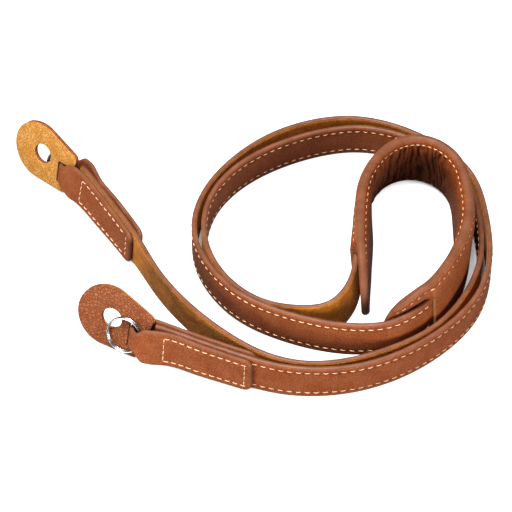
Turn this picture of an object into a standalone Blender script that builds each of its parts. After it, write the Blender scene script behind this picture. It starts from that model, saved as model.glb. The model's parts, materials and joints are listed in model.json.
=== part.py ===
"""Camera neck strap: a long stitched leather strap that lies coiled on its edge, a wide neck pad
slipped over its middle, and at each end a folded leather loop with a leather guard and a split ring.

The strap is one band that stands on its edge. Its centre line is a smooth curve through stations, and
everything on the strap is placed by three distances: along that line, across the band (upwards on a
band that stands straight) and out from its middle (positive on the side of the smooth leather).
"""

import math
from collections import namedtuple

import bmesh
import bpy
import numpy as np
from mathutils import Matrix, Vector

# Sizes are in millimetres and become metres where a mesh or an object is made.
MM = 0.001
OBJECT_NAME = "camera_neck_strap"
LAYOUT_MIDDLE = (-2.5, -4.2)

# Strap: a smooth leather and a suede lining, stitched together.
STRAP_WIDTH = 16.0
LEATHER_THICKNESS = 1.0
LINING_THICKNESS = 0.95
LINING_MARGIN = 0.15
LAYER_GAP = 0.2
STRAP_HALF = STRAP_WIDTH / 2
STRAP_HALF_THICKNESS = LAYER_GAP / 2 + LEATHER_THICKNESS
STRAP_START = 12.0
FLOOR_GAP = 0.1

# Neck pad: an outer face of leather with two slits, and a padded back that lies on the neck.
PAD_WIDTH = 32.0
PAD_HALF = PAD_WIDTH / 2
PAD_WALL = 1.3
PAD_BACK_WALL = 1.17
PAD_POCKET = 8.7
PAD_POCKET_END = 10.2
PAD_SHOULDER = 13.2
PAD_EDGE_CURVE = 1.6
PAD_PARTING = 0.15
PAD_FIRST_REACH = 20.1
PAD_LAST_REACH = 19.3
SLIT_LENGTH = 3.2
SLIT_WIDTH = 2 * PAD_POCKET
FIRST_SLIT = 532.5
LAST_SLIT = 698.7
SLIT_MARGIN = 0.05
PAD_TIP_FLAT = 2.5
PAD_TIP_TURNS = (14, 22, 32, 44, 58, 74, 90)
PAD_LEVEL_STEP = 0.4
PAD_BESIDE_SLIT = 6.0
PAD_PLAIN_FROM = 11.0
PAD_PANEL = 6.0
PAD_SHORTEST_PANEL = 0.25

# End loops: one leather strip, folded round the guard's tongue and sewn over the strap's end.
LOOP_THICKNESS = 1.8
LOOP_REACH = 54.0
LOOP_NECK_WIDTH = 8.8
LOOP_CORNER = 3.5
LOOP_CORNER_STEPS = [0.0, 0.5, 1.2, 2.2, 3.5]
LOOP_FLAT_STEPS = [9.0, 15.0, 21.0, 27.0]
LOOP_BENDS_FROM = 34.0
LOOP_BEND_STEPS = 27

# Guards: a tear-shaped leather plate with a hole for the camera's lug and a slit for the strip.
GUARD_THICKNESS = 2.0
GUARD_ROUND_RADIUS = 12.85
GUARD_ROUND_BACK = 1.8
GUARD_LENGTH = 15.7
GUARD_END_HALF = 10.2
GUARD_CORNER = 2.5
GUARD_HOLE_RADIUS = 4.2
GUARD_SLIT = 4.0
GUARD_SLIT_MARGIN = 0.4
GUARD_SLIT_HALF = LOOP_NECK_WIDTH / 2 + 0.5
GUARD_SIDES = 40
GUARD_HOLE_SIDES = 24

# Cutters reach past both faces of what they cut: how far out from the line they start and end.
PAD_CUT = (-6.0, 7.0)
GUARD_CUT = (-5.0, 6.0)

# Split rings: two flat turns of round wire, joined by a short step.
RING_OUTER = 15.0
RING_WIRE = 0.85
RING_STEP = 1.0
RING_CLEARANCE = 0.3
RING_OPEN_ANGLE = 20
RING_STEP_ANGLE = 14
RING_SIDE_ANGLE = 17

# Stations of the strap's centre line, from end A to end B: where it is in plan, how far its lower
# edge is lifted, and how many degrees its upper edge tips towards the smooth leather.
Station = namedtuple("Station", "x y rise lean")
OUTER_TURN_FROM_A = [
    Station(-80.8, 39.0, 0.8, 17),
    Station(-71.6, 32.4, 1.0, 14),
    Station(-64.6, 23.1, 0.8, 11),
    Station(-55.9, 10.1, 0.5, 8),
    Station(-46.9, -4.6, 0.2, 4),
    Station(-38.5, -20.5, 0.0, 1),
    Station(-26.3, -37.6, 0.0, 0),
    Station(-10.6, -53.0, 0.0, 0),
    Station(4.8, -63.1, 0.0, 0),
    Station(20.4, -67.0, 0.0, 0),
    Station(36.0, -65.2, 0.0, 0),
    Station(51.4, -59.5, 0.0, 0),
    Station(66.9, -50.2, 0.0, 0),
    Station(81.2, -32.0, 0.0, 0),
    Station(88.2, -11.0, 0.0, 0),
    Station(88.3, 8.5, 0.0, 0),
    Station(83.6, 29.6, 0.0, 0),
    Station(73.0, 43.4, 0.0, 2),
    Station(58.4, 52.6, 0.0, 3),
    Station(42.4, 56.6, 0.0, 3),
    Station(26.3, 54.3, 0.0, 3),
    Station(10.1, 47.8, 0.0, 2),
    Station(-5.6, 36.8, 0.0, 1),
    Station(-16.6, 21.8, 0.0, 0),
    Station(-20.6, 2.5, 0.0, 0),
]
INNER_TURN_FROM_A = [
    Station(-15.0, -19.0, 0.0, 2),
    Station(0.7, -36.2, 0.6, 4),
    Station(16.7, -42.6, 3.0, 6),
    Station(29.4, -42.2, 5.5, 9),
    Station(36.6, -34.2, 7.6, 9),
    Station(39.4, -23.0, 8.2, 7),
]
THROUGH_THE_PAD = [
    Station(41.0, -10.0, 8.2, 6),
    Station(42.2, 3.0, 8.2, 5),
    Station(42.4, 14.0, 8.2, -2),
    Station(44.9, 23.6, 8.2, -7.5),
    Station(50.2, 32.0, 8.2, -11),
    Station(60.0, 38.3, 8.2, -12.5),
    Station(69.4, 37.3, 8.2, -11),
    Station(76.3, 31.6, 8.2, -7),
    Station(80.7, 23.0, 8.2, -2),
    Station(82.3, 10.0, 8.2, 2),
    Station(82.3, -4.5, 8.2, 3),
    Station(79.2, -20.0, 8.2, -1),
    Station(73.5, -32.5, 8.2, -3),
    Station(66.5, -43.0, 8.2, -5),
]
INNER_TURN_TO_B = [
    Station(59.3, -49.7, 8.0, -5),
    Station(50.5, -53.8, 7.2, -5),
    Station(40.7, -54.3, 6.0, -6),
    Station(29.0, -52.0, 4.5, -7),
    Station(11.6, -45.6, 3.0, -6),
    Station(-5.2, -35.6, 2.2, -4),
    Station(-17.8, -20.0, 1.0, -2),
    Station(-24.4, 1.0, 0.0, 0),
    Station(-20.9, 20.2, 0.0, 0),
]
OUTER_TURN_TO_B = [
    Station(-9.6, 38.1, 0.0, 0),
    Station(6.2, 52.1, 0.0, -1),
    Station(22.3, 59.5, 0.0, -2),
    Station(40.0, 61.7, 0.0, -2),
    Station(58.2, 56.7, 0.0, -2),
    Station(73.9, 46.4, 0.0, -1),
    Station(85.8, 32.0, 0.0, 0),
    Station(91.2, 9.0, 0.0, 0),
    Station(91.6, -12.0, 0.0, 0),
    Station(85.9, -32.2, 0.0, 0),
    Station(71.1, -50.5, 0.0, 0),
    Station(55.2, -61.7, 0.0, 0),
    Station(39.7, -67.9, 0.0, 0),
    Station(24.2, -70.1, 0.0, -2),
    Station(8.7, -68.7, 0.0, -4),
    Station(-6.8, -63.7, 0.2, -5.5),
    Station(-22.2, -57.5, 0.4, -8),
    Station(-36.6, -51.8, 0.7, -14),
    Station(-43.4, -49.6, 0.8, -19),
    Station(-50.0, -46.9, 0.8, -22),
]
STRAP_STATIONS = (OUTER_TURN_FROM_A + INNER_TURN_FROM_A + THROUGH_THE_PAD
                  + INNER_TURN_TO_B + OUTER_TURN_TO_B)

# The pad's two ends leave the strap on its neck side: their own stations, and the stretch of the
# strap between them, measured from the slits, that the pad follows.
PAD_FIRST_TIP = [
    Station(41.9, -40.3, 8.2, 4),
    Station(41.6, -30.0, 8.2, 4.3),
    Station(41.5, -19.0, 8.2, 5),
    Station(41.7, -9.0, 8.2, 5.6),
]
PAD_LAST_TIP = [
    Station(62.0, -46.6, 8.2, -5),
    Station(56.9, -49.4, 8.1, -5),
    Station(48.4, -51.0, 8.0, -5),
]
PAD_FOLLOWS_FROM = 24.0
PAD_FOLLOWS_TO = 1.0
PAD_FOLLOWS_STEP = 9.0

# The pad's middle, over the strap's width: how far out its two leathers lie from the pad's own
# parting line, at distances from the first and from the last slit.
PadRow = namedtuple("PadRow", "slit offset face_inside back_outside back_inside edge_face edge_back")
PAD_ROWS = [
    PadRow("first", -PAD_FIRST_REACH, 0.15, -0.15, -1.4, 1.2, -1.4),
    PadRow("first", -12.0, 0.15, -0.15, -2.0, 1.4, -1.55),
    PadRow("first", -6.0, -0.5, -0.9, -2.4, 1.4, -1.55),
    PadRow("first", -SLIT_LENGTH / 2, -1.1, -1.5, -2.8, 1.4, -1.55),
    PadRow("first", SLIT_LENGTH / 2, 3.1, -0.7, -3.0, 1.4, -1.55),
    PadRow("first", 12.0, 2.1, -1.1, -3.4, 1.4, -1.55),
    PadRow("first", 26.0, 1.5, -1.6, -3.7, 1.4, -1.55),
    PadRow("last", -16.0, 1.5, -1.6, -3.7, 1.4, -1.55),
    PadRow("last", -SLIT_LENGTH / 2, 1.6, -2.2, -3.9, 1.4, -1.55),
    PadRow("last", SLIT_LENGTH / 2, -2.9, -3.3, -4.6, 1.4, -1.55),
    PadRow("last", 6.0, -2.1, -2.5, -4.0, 1.4, -1.55),
    PadRow("last", 12.0, -1.3, -1.7, -3.2, 1.3, -1.5),
    PadRow("last", PAD_LAST_REACH, -0.3, -0.6, -1.9, 1.2, -1.4),
]

# The strip's path from one flap end to the other, seen on its edge: how far it is from the fold,
# how far out it lies, and how wide it is there.
LoopRow = namedtuple("LoopRow", "reach out width")
LOOP_ROWS = [
    LoopRow(LOOP_REACH, 2.35, 16.0),
    LoopRow(40.0, 2.35, 16.0),
    LoopRow(28.0, 2.35, 16.0),
    LoopRow(18.0, 2.45, 16.0),
    LoopRow(12.0, 4.0, 16.0),
    LoopRow(8.0, 5.0, 15.2),
    LoopRow(6.4, 5.1, 14.2),
    LoopRow(4.8, 5.0, 10.6),
    LoopRow(2.8, 4.2, LOOP_NECK_WIDTH),
    LoopRow(1.0, 2.2, LOOP_NECK_WIDTH),
    LoopRow(0.0, 0.0, LOOP_NECK_WIDTH),
    LoopRow(1.2, -2.0, LOOP_NECK_WIDTH),
    LoopRow(4.0, -3.0, 11.4),
    LoopRow(8.0, -3.2, 15.4),
    LoopRow(12.0, -2.9, 15.8),
    LoopRow(18.0, -2.4, 16.0),
    LoopRow(28.0, -2.35, 16.0),
    LoopRow(40.0, -2.35, 16.0),
    LoopRow(LOOP_REACH, -2.35, 16.0),
]

# Guards: the hole's centre, the compass direction of the narrow end, how far the plate leans back
# and how far it is turned in its own plane, in degrees, where the ring lies from the hole and on
# which side of the plate, and how far along the strap the strip's fold is.
Guard = namedtuple("Guard", "letter hole azimuth lean roll ring ring_side fold")
GUARDS = [
    Guard("a", (-85.9, 44.5, 12.6), -38.7, 15.9, -10.4, (8.7, -2.4), -1, 2.2),
    Guard("b", (-55.2, -42.3, 12.6), -25.0, 23.0, -13.9, (7.6, -2.5), 1, -1.2),
]

# Colours: linear red, green and blue.
LEATHER_COLOUR = (0.34, 0.105, 0.045)
SUEDE_COLOUR = (0.52, 0.22, 0.07)
PAD_BACK_COLOUR = (0.20, 0.055, 0.022)
CHROME_COLOUR = (0.75, 0.75, 0.76)


def clear_scene():
    for thing in list(bpy.data.objects):
        bpy.data.objects.remove(thing, do_unlink=True)


def new_collection(name):
    collection = bpy.data.collections.new(name)
    bpy.context.scene.collection.children.link(collection)
    return collection


def new_material(name, colour, roughness, metallic=0.0):
    material = bpy.data.materials.new(name)
    material.use_nodes = True
    shader = material.node_tree.nodes["Principled BSDF"]
    shader.inputs["Base Color"].default_value = (*colour, 1.0)
    shader.inputs["Roughness"].default_value = roughness
    shader.inputs["Metallic"].default_value = metallic
    material.diffuse_color = (*colour, 1.0)
    return material


def add_object(name, data, collection, material=None):
    thing = bpy.data.objects.new(name, data)
    collection.objects.link(thing)
    if material is not None:
        data.materials.append(material)
    return thing


def curve_to_mesh(thing, collection):
    """Replace a curve object by a closed mesh object of the same name and place."""
    bpy.context.view_layer.update()
    graph = bpy.context.evaluated_depsgraph_get()
    mesh = bpy.data.meshes.new_from_object(thing.evaluated_get(graph))
    shape = bmesh.new()
    shape.from_mesh(mesh)
    bmesh.ops.remove_doubles(shape, verts=shape.verts, dist=1e-6)
    shape.normal_update()
    bmesh.ops.recalc_face_normals(shape, faces=shape.faces)
    shape.to_mesh(mesh)
    shape.free()
    name = thing.name
    place = thing.matrix_world.copy()
    bpy.data.objects.remove(thing, do_unlink=True)
    solid = bpy.data.objects.new(name, mesh)
    collection.objects.link(solid)
    solid.matrix_world = place
    return solid


class Line:
    """A smooth line through rows of numbers: a natural cubic in the distance between the rows."""

    def __init__(self, rows, plan_columns=2):
        self.rows = np.array(rows, float)
        steps = np.linalg.norm(np.diff(self.rows[:, :plan_columns], axis=0), axis=1)
        self.knots = np.concatenate([[0.0], np.cumsum(steps)])
        self.length = float(self.knots[-1])
        count = len(self.rows)
        system = np.eye(count)
        target = np.zeros_like(self.rows)
        for i in range(1, count - 1):
            before = steps[i - 1]
            after = steps[i]
            system[i, i - 1:i + 2] = (before, 2 * (before + after), after)
            rise_after = (self.rows[i + 1] - self.rows[i]) / after
            rise_before = (self.rows[i] - self.rows[i - 1]) / before
            target[i] = 6 * (rise_after - rise_before)
        self.bends = np.linalg.solve(system, target)

    def at(self, distance):
        i = int(np.clip(np.searchsorted(self.knots, distance) - 1, 0, len(self.knots) - 2))
        step = self.knots[i + 1] - self.knots[i]
        ahead = self.knots[i + 1] - distance
        past = distance - self.knots[i]
        curve = (self.bends[i] * ahead ** 3 + self.bends[i + 1] * past ** 3) / (6 * step)
        start = (self.rows[i] / step - self.bends[i] * step / 6) * ahead
        end = (self.rows[i + 1] / step - self.bends[i + 1] * step / 6) * past
        return curve + start + end

    def bend_radius(self, distance, reach=2.0):
        points = [self.at(distance + k * reach)[:2] for k in (-1, 0, 1)]
        first = points[1] - points[0]
        second = points[2] - points[1]
        turn = abs(first[0] * second[1] - first[1] * second[0])
        turn /= np.linalg.norm(first) * np.linalg.norm(second)
        return reach / max(math.asin(min(turn, 1.0)), 1e-4)

    def steps(self, start, end, sag=0.1, shortest=2.6, longest=6.5):
        """Distances from start to end, closer together where the line bends more."""
        distances = [start]
        while distances[-1] < end - shortest / 2:
            radius = self.bend_radius(distances[-1])
            step = min(max(math.sqrt(8 * radius * sag), shortest), longest)
            distances.append(min(distances[-1] + step, end))
        distances[-1] = end
        return distances


def place(line, distance, across, out):
    """A point beside the line, in metres in the part's own frame."""
    x, y, rise, lean = line.at(distance)
    reach = 0.05
    ahead = line.at(distance + reach)[:2] - line.at(distance - reach)[:2]
    ahead /= np.linalg.norm(ahead)
    left = np.array([-ahead[1], ahead[0], 0.0])
    tip = math.radians(lean)
    upward = left * math.sin(tip) + np.array([0.0, 0.0, math.cos(tip)])
    outward = left * math.cos(tip) - np.array([0.0, 0.0, math.sin(tip)])
    middle = FLOOR_GAP + rise + STRAP_HALF * math.cos(tip)
    middle += STRAP_HALF_THICKNESS * abs(math.sin(tip))
    point = np.array([x - LAYOUT_MIDDLE[0], y - LAYOUT_MIDDLE[1], middle])
    return Vector((point + upward * across + outward * out) * MM)


def sheet(name, rows, thickness, collection, material):
    """An open sheet through rows of points, given its thickness evenly on both sides."""
    shape = bmesh.new()
    grid = [[shape.verts.new(point) for point in row] for row in rows]
    for near, far in zip(grid, grid[1:]):
        for i in range(len(near) - 1):
            shape.faces.new((near[i], far[i], far[i + 1], near[i + 1]))
    shape.normal_update()
    bmesh.ops.recalc_face_normals(shape, faces=shape.faces)
    mesh = bpy.data.meshes.new(name)
    shape.to_mesh(mesh)
    shape.free()
    thing = add_object(name, mesh, collection, material)
    wall = thing.modifiers.new("thickness", "SOLIDIFY")
    wall.thickness = thickness * MM
    wall.offset = 0.0
    wall.use_even_offset = True
    return thing


def loft(name, rings, collection, material):
    """A closed body through rings of points, each ring a closed section."""
    shape = bmesh.new()
    loops = [[shape.verts.new(point) for point in ring] for ring in rings]
    for near, far in zip(loops, loops[1:]):
        for i in range(len(near)):
            j = (i + 1) % len(near)
            shape.faces.new((near[i], near[j], far[j], far[i]))
    shape.faces.new(loops[0])
    shape.faces.new(reversed(loops[-1]))
    shape.normal_update()
    bmesh.ops.recalc_face_normals(shape, faces=shape.faces)
    bmesh.ops.triangulate(shape, faces=shape.faces)
    mesh = bpy.data.meshes.new(name)
    shape.to_mesh(mesh)
    shape.free()
    return add_object(name, mesh, collection, material)


def cutter_box(name, corners, collection):
    """A box through eight corners, four below and four above, that only cuts."""
    mesh = bpy.data.meshes.new(name)
    shape = bmesh.new()
    bmesh.ops.create_cube(shape, size=2.0)
    for vert in shape.verts:
        index = (vert.co.x > 0) + 2 * (vert.co.y > 0) + 4 * (vert.co.z > 0)
        vert.co = corners[index]
    shape.normal_update()
    bmesh.ops.recalc_face_normals(shape, faces=shape.faces)
    shape.to_mesh(mesh)
    shape.free()
    cutter = add_object(name, mesh, collection)
    cutter.hide_render = True
    cutter.display_type = "WIRE"
    return cutter


def cut(thing, cutter):
    boolean = thing.modifiers.new("cut_" + cutter.name, "BOOLEAN")
    boolean.operation = "DIFFERENCE"
    boolean.solver = "EXACT"
    boolean.object = cutter


def box_on_line(line, along, across, out):
    """The eight corners of a box given by its ranges along, across and out from a line."""
    return [place(line, along[i], across[j], out[k]) for k in (0, 1) for j in (0, 1) for i in (0, 1)]


def make_strap(line, parts, leather, suede):
    """The smooth leather and the lining: two ribbons on the same line, with a thin gap between."""
    distances = line.steps(STRAP_START, line.length - STRAP_START)
    outer = LAYER_GAP / 2 + LEATHER_THICKNESS / 2
    inner = -LAYER_GAP / 2 - LINING_THICKNESS / 2
    lining_half = STRAP_HALF - LINING_MARGIN
    rows = [[place(line, d, -STRAP_HALF, outer), place(line, d, STRAP_HALF, outer)] for d in distances]
    sheet("strap_leather", rows, LEATHER_THICKNESS, parts, leather)
    rows = [[place(line, d, -lining_half, inner), place(line, d, lining_half, inner)] for d in distances]
    sheet("strap_lining", rows, LINING_THICKNESS, parts, suede)


def pad_line(line):
    """The pad's own line: its first tip, the strap's line between the slits, and its last tip."""
    follow = np.arange(FIRST_SLIT + PAD_FOLLOWS_FROM, LAST_SLIT - PAD_FOLLOWS_TO, PAD_FOLLOWS_STEP)
    middle = [tuple(line.at(distance)) for distance in follow]
    return Line(PAD_FIRST_TIP + middle + PAD_LAST_TIP)


def smooth_step(value):
    value = min(max(value, 0.0), 1.0)
    return value * value * (3 - 2 * value)


def pad_profile(row, across):
    """How far out the pad's four surfaces lie at a height, from one row of the pad's middle."""
    height = abs(across)
    pocket = smooth_step((height - PAD_POCKET) / (PAD_POCKET_END - PAD_POCKET))
    edge = max((height - PAD_POCKET) / (PAD_HALF - PAD_POCKET), 0.0) ** PAD_EDGE_CURVE
    face_inside = row["face_inside"] * (1 - pocket) + PAD_PARTING * pocket
    back_outside = row["back_outside"] * (1 - pocket) - PAD_PARTING * pocket
    face_crown = row["face_inside"] + PAD_WALL
    face_crown += (row["edge_face"] - face_crown) * edge
    back_crown = row["back_inside"] + (row["edge_back"] - row["back_inside"]) * edge
    face_outside = max(face_inside + PAD_WALL, face_crown)
    back_inside = min(back_outside - PAD_BACK_WALL, back_crown)
    return face_inside, face_outside, back_outside, back_inside


def make_pad(line, parts, cutters, leather, back):
    """Two lofted shells with round ends. The outer one is cut through at both slits."""
    spine = pad_line(line)
    first = PAD_FIRST_REACH
    last = spine.length - PAD_LAST_REACH
    starts = {"first": first, "last": last}
    where = [starts[row.slit] + row.offset for row in PAD_ROWS]
    columns = PadRow._fields[2:]
    table = {name: [getattr(row, name) for row in PAD_ROWS] for name in columns}

    tip_turns = [math.acos(1 - PAD_TIP_FLAT ** 2 / (2 * PAD_HALF ** 2))]
    tip_turns += [math.radians(turn) for turn in PAD_TIP_TURNS]
    distances = [first * (1 - math.cos(turn)) for turn in tip_turns]
    distances += [spine.length - PAD_LAST_REACH * (1 - math.cos(turn)) for turn in tip_turns]
    distances += [first - SLIT_LENGTH / 2, first + SLIT_LENGTH / 2, first + PAD_BESIDE_SLIT]
    distances += [last - SLIT_LENGTH / 2, last + SLIT_LENGTH / 2, last - PAD_BESIDE_SLIT]
    distances += spine.steps(first + PAD_PLAIN_FROM, last - PAD_PLAIN_FROM, longest=PAD_PANEL)
    distances = sorted(distances)
    gaps = np.diff(distances, prepend=-PAD_PANEL)
    distances = [d for d, gap in zip(distances, gaps) if gap > PAD_SHORTEST_PANEL]

    face_rings = []
    back_rings = []
    for distance in distances:
        row = {name: np.interp(distance, where, table[name]) for name in columns}
        half = PAD_HALF
        if distance < first:
            half *= math.sqrt(max(1 - ((first - distance) / first) ** 2, 0.0))
        if distance > last:
            half *= math.sqrt(max(1 - ((distance - last) / PAD_LAST_REACH) ** 2, 0.0))
        levels = [PAD_POCKET, PAD_POCKET_END, PAD_SHOULDER]
        heights = [min(level, half - PAD_LEVEL_STEP * (3 - i)) for i, level in enumerate(levels)]
        heights.append(half)
        across = [-h for h in reversed(heights)] + [0.0] + heights
        surfaces = [pad_profile(row, u) for u in across]
        face_in = [place(spine, distance, u, s[0]) for u, s in zip(across, surfaces)]
        face_out = [place(spine, distance, u, s[1]) for u, s in zip(across, surfaces)]
        back_out = [place(spine, distance, u, s[2]) for u, s in zip(across, surfaces)]
        back_in = [place(spine, distance, u, s[3]) for u, s in zip(across, surfaces)]
        face_rings.append(face_in + face_out[::-1])
        back_rings.append(back_in + back_out[::-1])
    face = loft("pad_face", face_rings, parts, leather)
    loft("pad_back", back_rings, parts, back)

    for name, at in (("first_slit", first), ("last_slit", last)):
        half_length = SLIT_LENGTH / 2 + SLIT_MARGIN
        half = SLIT_WIDTH / 2
        corners = box_on_line(spine, (at - half_length, at + half_length), (-half, half), PAD_CUT)
        cut(face, cutter_box(name, corners, cutters))


def loop_width(reach, width):
    """The strip is no wider than the strap, and its ends have round corners."""
    width = min(width, STRAP_WIDTH)
    from_end = LOOP_REACH - reach
    if from_end >= LOOP_CORNER:
        return width
    return width - 2 * (LOOP_CORNER - math.sqrt(LOOP_CORNER ** 2 - (LOOP_CORNER - from_end) ** 2))


def make_loop(letter, line, to_line, parts, leather):
    """The strip that is folded over the strap's end: an open sheet along its path, thickened."""
    path = Line(LOOP_ROWS)
    flap = LOOP_CORNER_STEPS + LOOP_FLAT_STEPS
    bend = np.linspace(LOOP_BENDS_FROM, path.length - LOOP_BENDS_FROM, LOOP_BEND_STEPS)
    distances = flap + list(bend) + [path.length - d for d in reversed(flap)]
    rows = []
    for distance in distances:
        reach, out, width = path.at(distance)
        half = loop_width(reach, width) / 2
        rows.append([place(line, to_line(reach), -half, out), place(line, to_line(reach), half, out)])
    sheet("end_loop_" + letter, rows, LOOP_THICKNESS, parts, leather)


def round_hull(circles, segments):
    """The outline round a few circles, given counterclockwise as centre x, centre y and radius."""
    points = []
    leaving = []
    for (x1, y1, r1), (x2, y2, r2) in zip(circles, circles[1:] + circles[:1]):
        span = math.hypot(x2 - x1, y2 - y1)
        leaving.append(math.atan2(y2 - y1, x2 - x1) - math.acos((r1 - r2) / span))
    for i, (x, y, radius) in enumerate(circles):
        start = leaving[i - 1]
        sweep = (leaving[i] - start) % (2 * math.pi)
        count = max(int(round(segments * sweep / (2 * math.pi))), 2)
        for k in range(count + 1):
            turn = start + sweep * k / count
            points.append((x + radius * math.cos(turn), y + radius * math.sin(turn)))
    return points


def guard_place(guard):
    """The plate's own frame: its first axis runs to the narrow end, its third out of the plate."""
    azimuth, lean, roll = (math.radians(a) for a in (guard.azimuth, guard.lean, guard.roll))
    level = Vector((math.cos(azimuth), math.sin(azimuth), 0.0))
    back = Vector((-math.sin(azimuth), math.cos(azimuth), 0.0))
    upward = back * math.sin(lean) + Vector((0.0, 0.0, math.cos(lean)))
    along = level * math.cos(roll) + upward * math.sin(roll)
    across = upward * math.cos(roll) - level * math.sin(roll)
    frame = Matrix((along, across, along.cross(across))).transposed().to_4x4()
    x, y, z = guard.hole
    frame.translation = Vector((x - LAYOUT_MIDDLE[0], y - LAYOUT_MIDDLE[1], z)) * MM
    return frame


def add_outline(curve, points):
    spline = curve.splines.new("POLY")
    spline.points.add(len(points) - 1)
    for point, (x, y) in zip(spline.points, points):
        point.co = (x * MM, y * MM, 0.0, 1.0)
    spline.use_cyclic_u = True


def make_guard(guard, line, to_line, parts, cutters, leather):
    """A flat outline with its round hole, cut through by the slit that the strip passes."""
    corner_x = GUARD_LENGTH - GUARD_CORNER
    corner_y = GUARD_END_HALF - GUARD_CORNER
    circles = [
        (-GUARD_ROUND_BACK, 0.0, GUARD_ROUND_RADIUS),
        (corner_x, -corner_y, GUARD_CORNER),
        (corner_x, corner_y, GUARD_CORNER),
    ]
    curve = bpy.data.curves.new("guard_outline_" + guard.letter, "CURVE")
    curve.dimensions = "2D"
    curve.fill_mode = "BOTH"
    curve.extrude = GUARD_THICKNESS / 2 * MM
    add_outline(curve, round_hull(circles, GUARD_SIDES))
    turns = [2 * math.pi * k / GUARD_HOLE_SIDES for k in range(GUARD_HOLE_SIDES)]
    hole = [(GUARD_HOLE_RADIUS * math.cos(turn), GUARD_HOLE_RADIUS * math.sin(turn)) for turn in turns]
    add_outline(curve, hole)
    thing = add_object("guard_" + guard.letter, curve, parts)
    thing.matrix_world = guard_place(guard)
    solid = curve_to_mesh(thing, parts)
    solid.data.materials.clear()
    solid.data.materials.append(leather)

    slit_start = -LOOP_THICKNESS / 2 - GUARD_SLIT_MARGIN
    along = sorted((to_line(slit_start), to_line(slit_start + GUARD_SLIT)))
    corners = box_on_line(line, along, (-GUARD_SLIT_HALF, GUARD_SLIT_HALF), GUARD_CUT)
    cut(solid, cutter_box("guard_slit_" + guard.letter, corners, cutters))


def make_ring(guard, parts, chrome):
    """Two flat turns of wire, one on the other, with a short step between them."""
    radius = (RING_OUTER - RING_WIRE) / 2
    points = []
    for turn in range(RING_OPEN_ANGLE, 720 - RING_OPEN_ANGLE + 1, RING_SIDE_ANGLE):
        level = RING_STEP * smooth_step((turn - 360 + RING_STEP_ANGLE) / (2 * RING_STEP_ANGLE))
        angle = math.radians(turn)
        points.append((radius * math.cos(angle), radius * math.sin(angle), level))
    curve = bpy.data.curves.new("ring_wire_" + guard.letter, "CURVE")
    curve.dimensions = "3D"
    curve.bevel_depth = RING_WIRE / 2 * MM
    curve.bevel_resolution = 2
    curve.use_fill_caps = True
    spline = curve.splines.new("POLY")
    spline.points.add(len(points) - 1)
    base = GUARD_THICKNESS / 2 + RING_CLEARANCE + RING_WIRE / 2
    for point, (x, y, level) in zip(spline.points, points):
        point.co = (x * MM, y * MM, (base + level) * guard.ring_side * MM, 1.0)
    thing = add_object("ring_" + guard.letter, curve, parts)
    thing.matrix_world = guard_place(guard) @ Matrix.Translation(Vector((*guard.ring, 0.0)) * MM)
    solid = curve_to_mesh(thing, parts)
    solid.data.materials.clear()
    solid.data.materials.append(chrome)
    solid.data.shade_smooth()


def main():
    clear_scene()
    parts = new_collection(OBJECT_NAME)
    cutters = new_collection("cutters")
    cutters.hide_render = True
    leather = new_material("smooth_leather", LEATHER_COLOUR, 0.45)
    suede = new_material("suede", SUEDE_COLOUR, 0.9)
    back = new_material("pad_back_leather", PAD_BACK_COLOUR, 0.6)
    chrome = new_material("chrome", CHROME_COLOUR, 0.12, 1.0)

    line = Line(STRAP_STATIONS)
    make_strap(line, parts, leather, suede)
    make_pad(line, parts, cutters, leather, back)
    fold_a, fold_b = (guard.fold for guard in GUARDS)
    from_fold = {"a": lambda reach: fold_a + reach, "b": lambda reach: line.length - fold_b - reach}
    for guard in GUARDS:
        to_line = from_fold[guard.letter]
        make_loop(guard.letter, line, to_line, parts, leather)
        make_guard(guard, line, to_line, parts, cutters, leather)
        make_ring(guard, parts, chrome)


main()
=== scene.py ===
"""Camera neck strap in brown leather, coiled on a white table: the finish of every piece.

The sections follow the strap as it is made up: the smooth leather, its suede lining, the painted edges
and the stitches, then the neck pad, the end loops, the guards and the split rings.
"""

import json
import math
from collections import namedtuple

import bmesh
import bpy
import numpy as np
from mathutils import Matrix, Vector

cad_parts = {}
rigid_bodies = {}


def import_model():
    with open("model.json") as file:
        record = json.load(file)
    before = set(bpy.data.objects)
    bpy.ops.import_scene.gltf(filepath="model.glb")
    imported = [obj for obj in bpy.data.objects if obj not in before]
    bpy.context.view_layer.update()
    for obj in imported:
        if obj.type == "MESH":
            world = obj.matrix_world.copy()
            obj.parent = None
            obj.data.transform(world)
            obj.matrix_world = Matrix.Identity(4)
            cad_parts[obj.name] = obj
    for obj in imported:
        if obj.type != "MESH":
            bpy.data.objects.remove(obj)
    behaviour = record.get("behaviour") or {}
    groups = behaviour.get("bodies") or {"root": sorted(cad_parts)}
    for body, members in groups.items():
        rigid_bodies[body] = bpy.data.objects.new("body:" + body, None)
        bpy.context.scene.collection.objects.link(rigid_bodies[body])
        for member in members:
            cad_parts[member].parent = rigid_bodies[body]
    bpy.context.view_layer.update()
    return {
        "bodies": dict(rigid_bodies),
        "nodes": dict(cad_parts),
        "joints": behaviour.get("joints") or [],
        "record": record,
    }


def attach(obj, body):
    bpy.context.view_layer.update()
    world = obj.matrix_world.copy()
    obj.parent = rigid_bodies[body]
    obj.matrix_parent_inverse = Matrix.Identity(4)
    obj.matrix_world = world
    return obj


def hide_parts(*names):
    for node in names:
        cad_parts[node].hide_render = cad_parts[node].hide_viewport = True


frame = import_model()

# The table, the lights and the camera
# A white board under wide soft lamps, seen from the front and from half above through a long lens.
# The camera sees the open board as pure white, and only narrow gaps between the leathers stay dark.
BOARD_SIZE = 3.0
BOARD_SEEN = 0.5
BOARD_BOUNCE = 0.16
BOARD_GLOW = 1.0
BOARD_ROUGHNESS = 0.9
NARROW_GAP = 0.009
GAP_SHUT = 0.16
GAP_OPEN = 0.32
WHITE = (1.0, 1.0, 1.0, 1.0)
ROOM_LIGHT = 0.12
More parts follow.
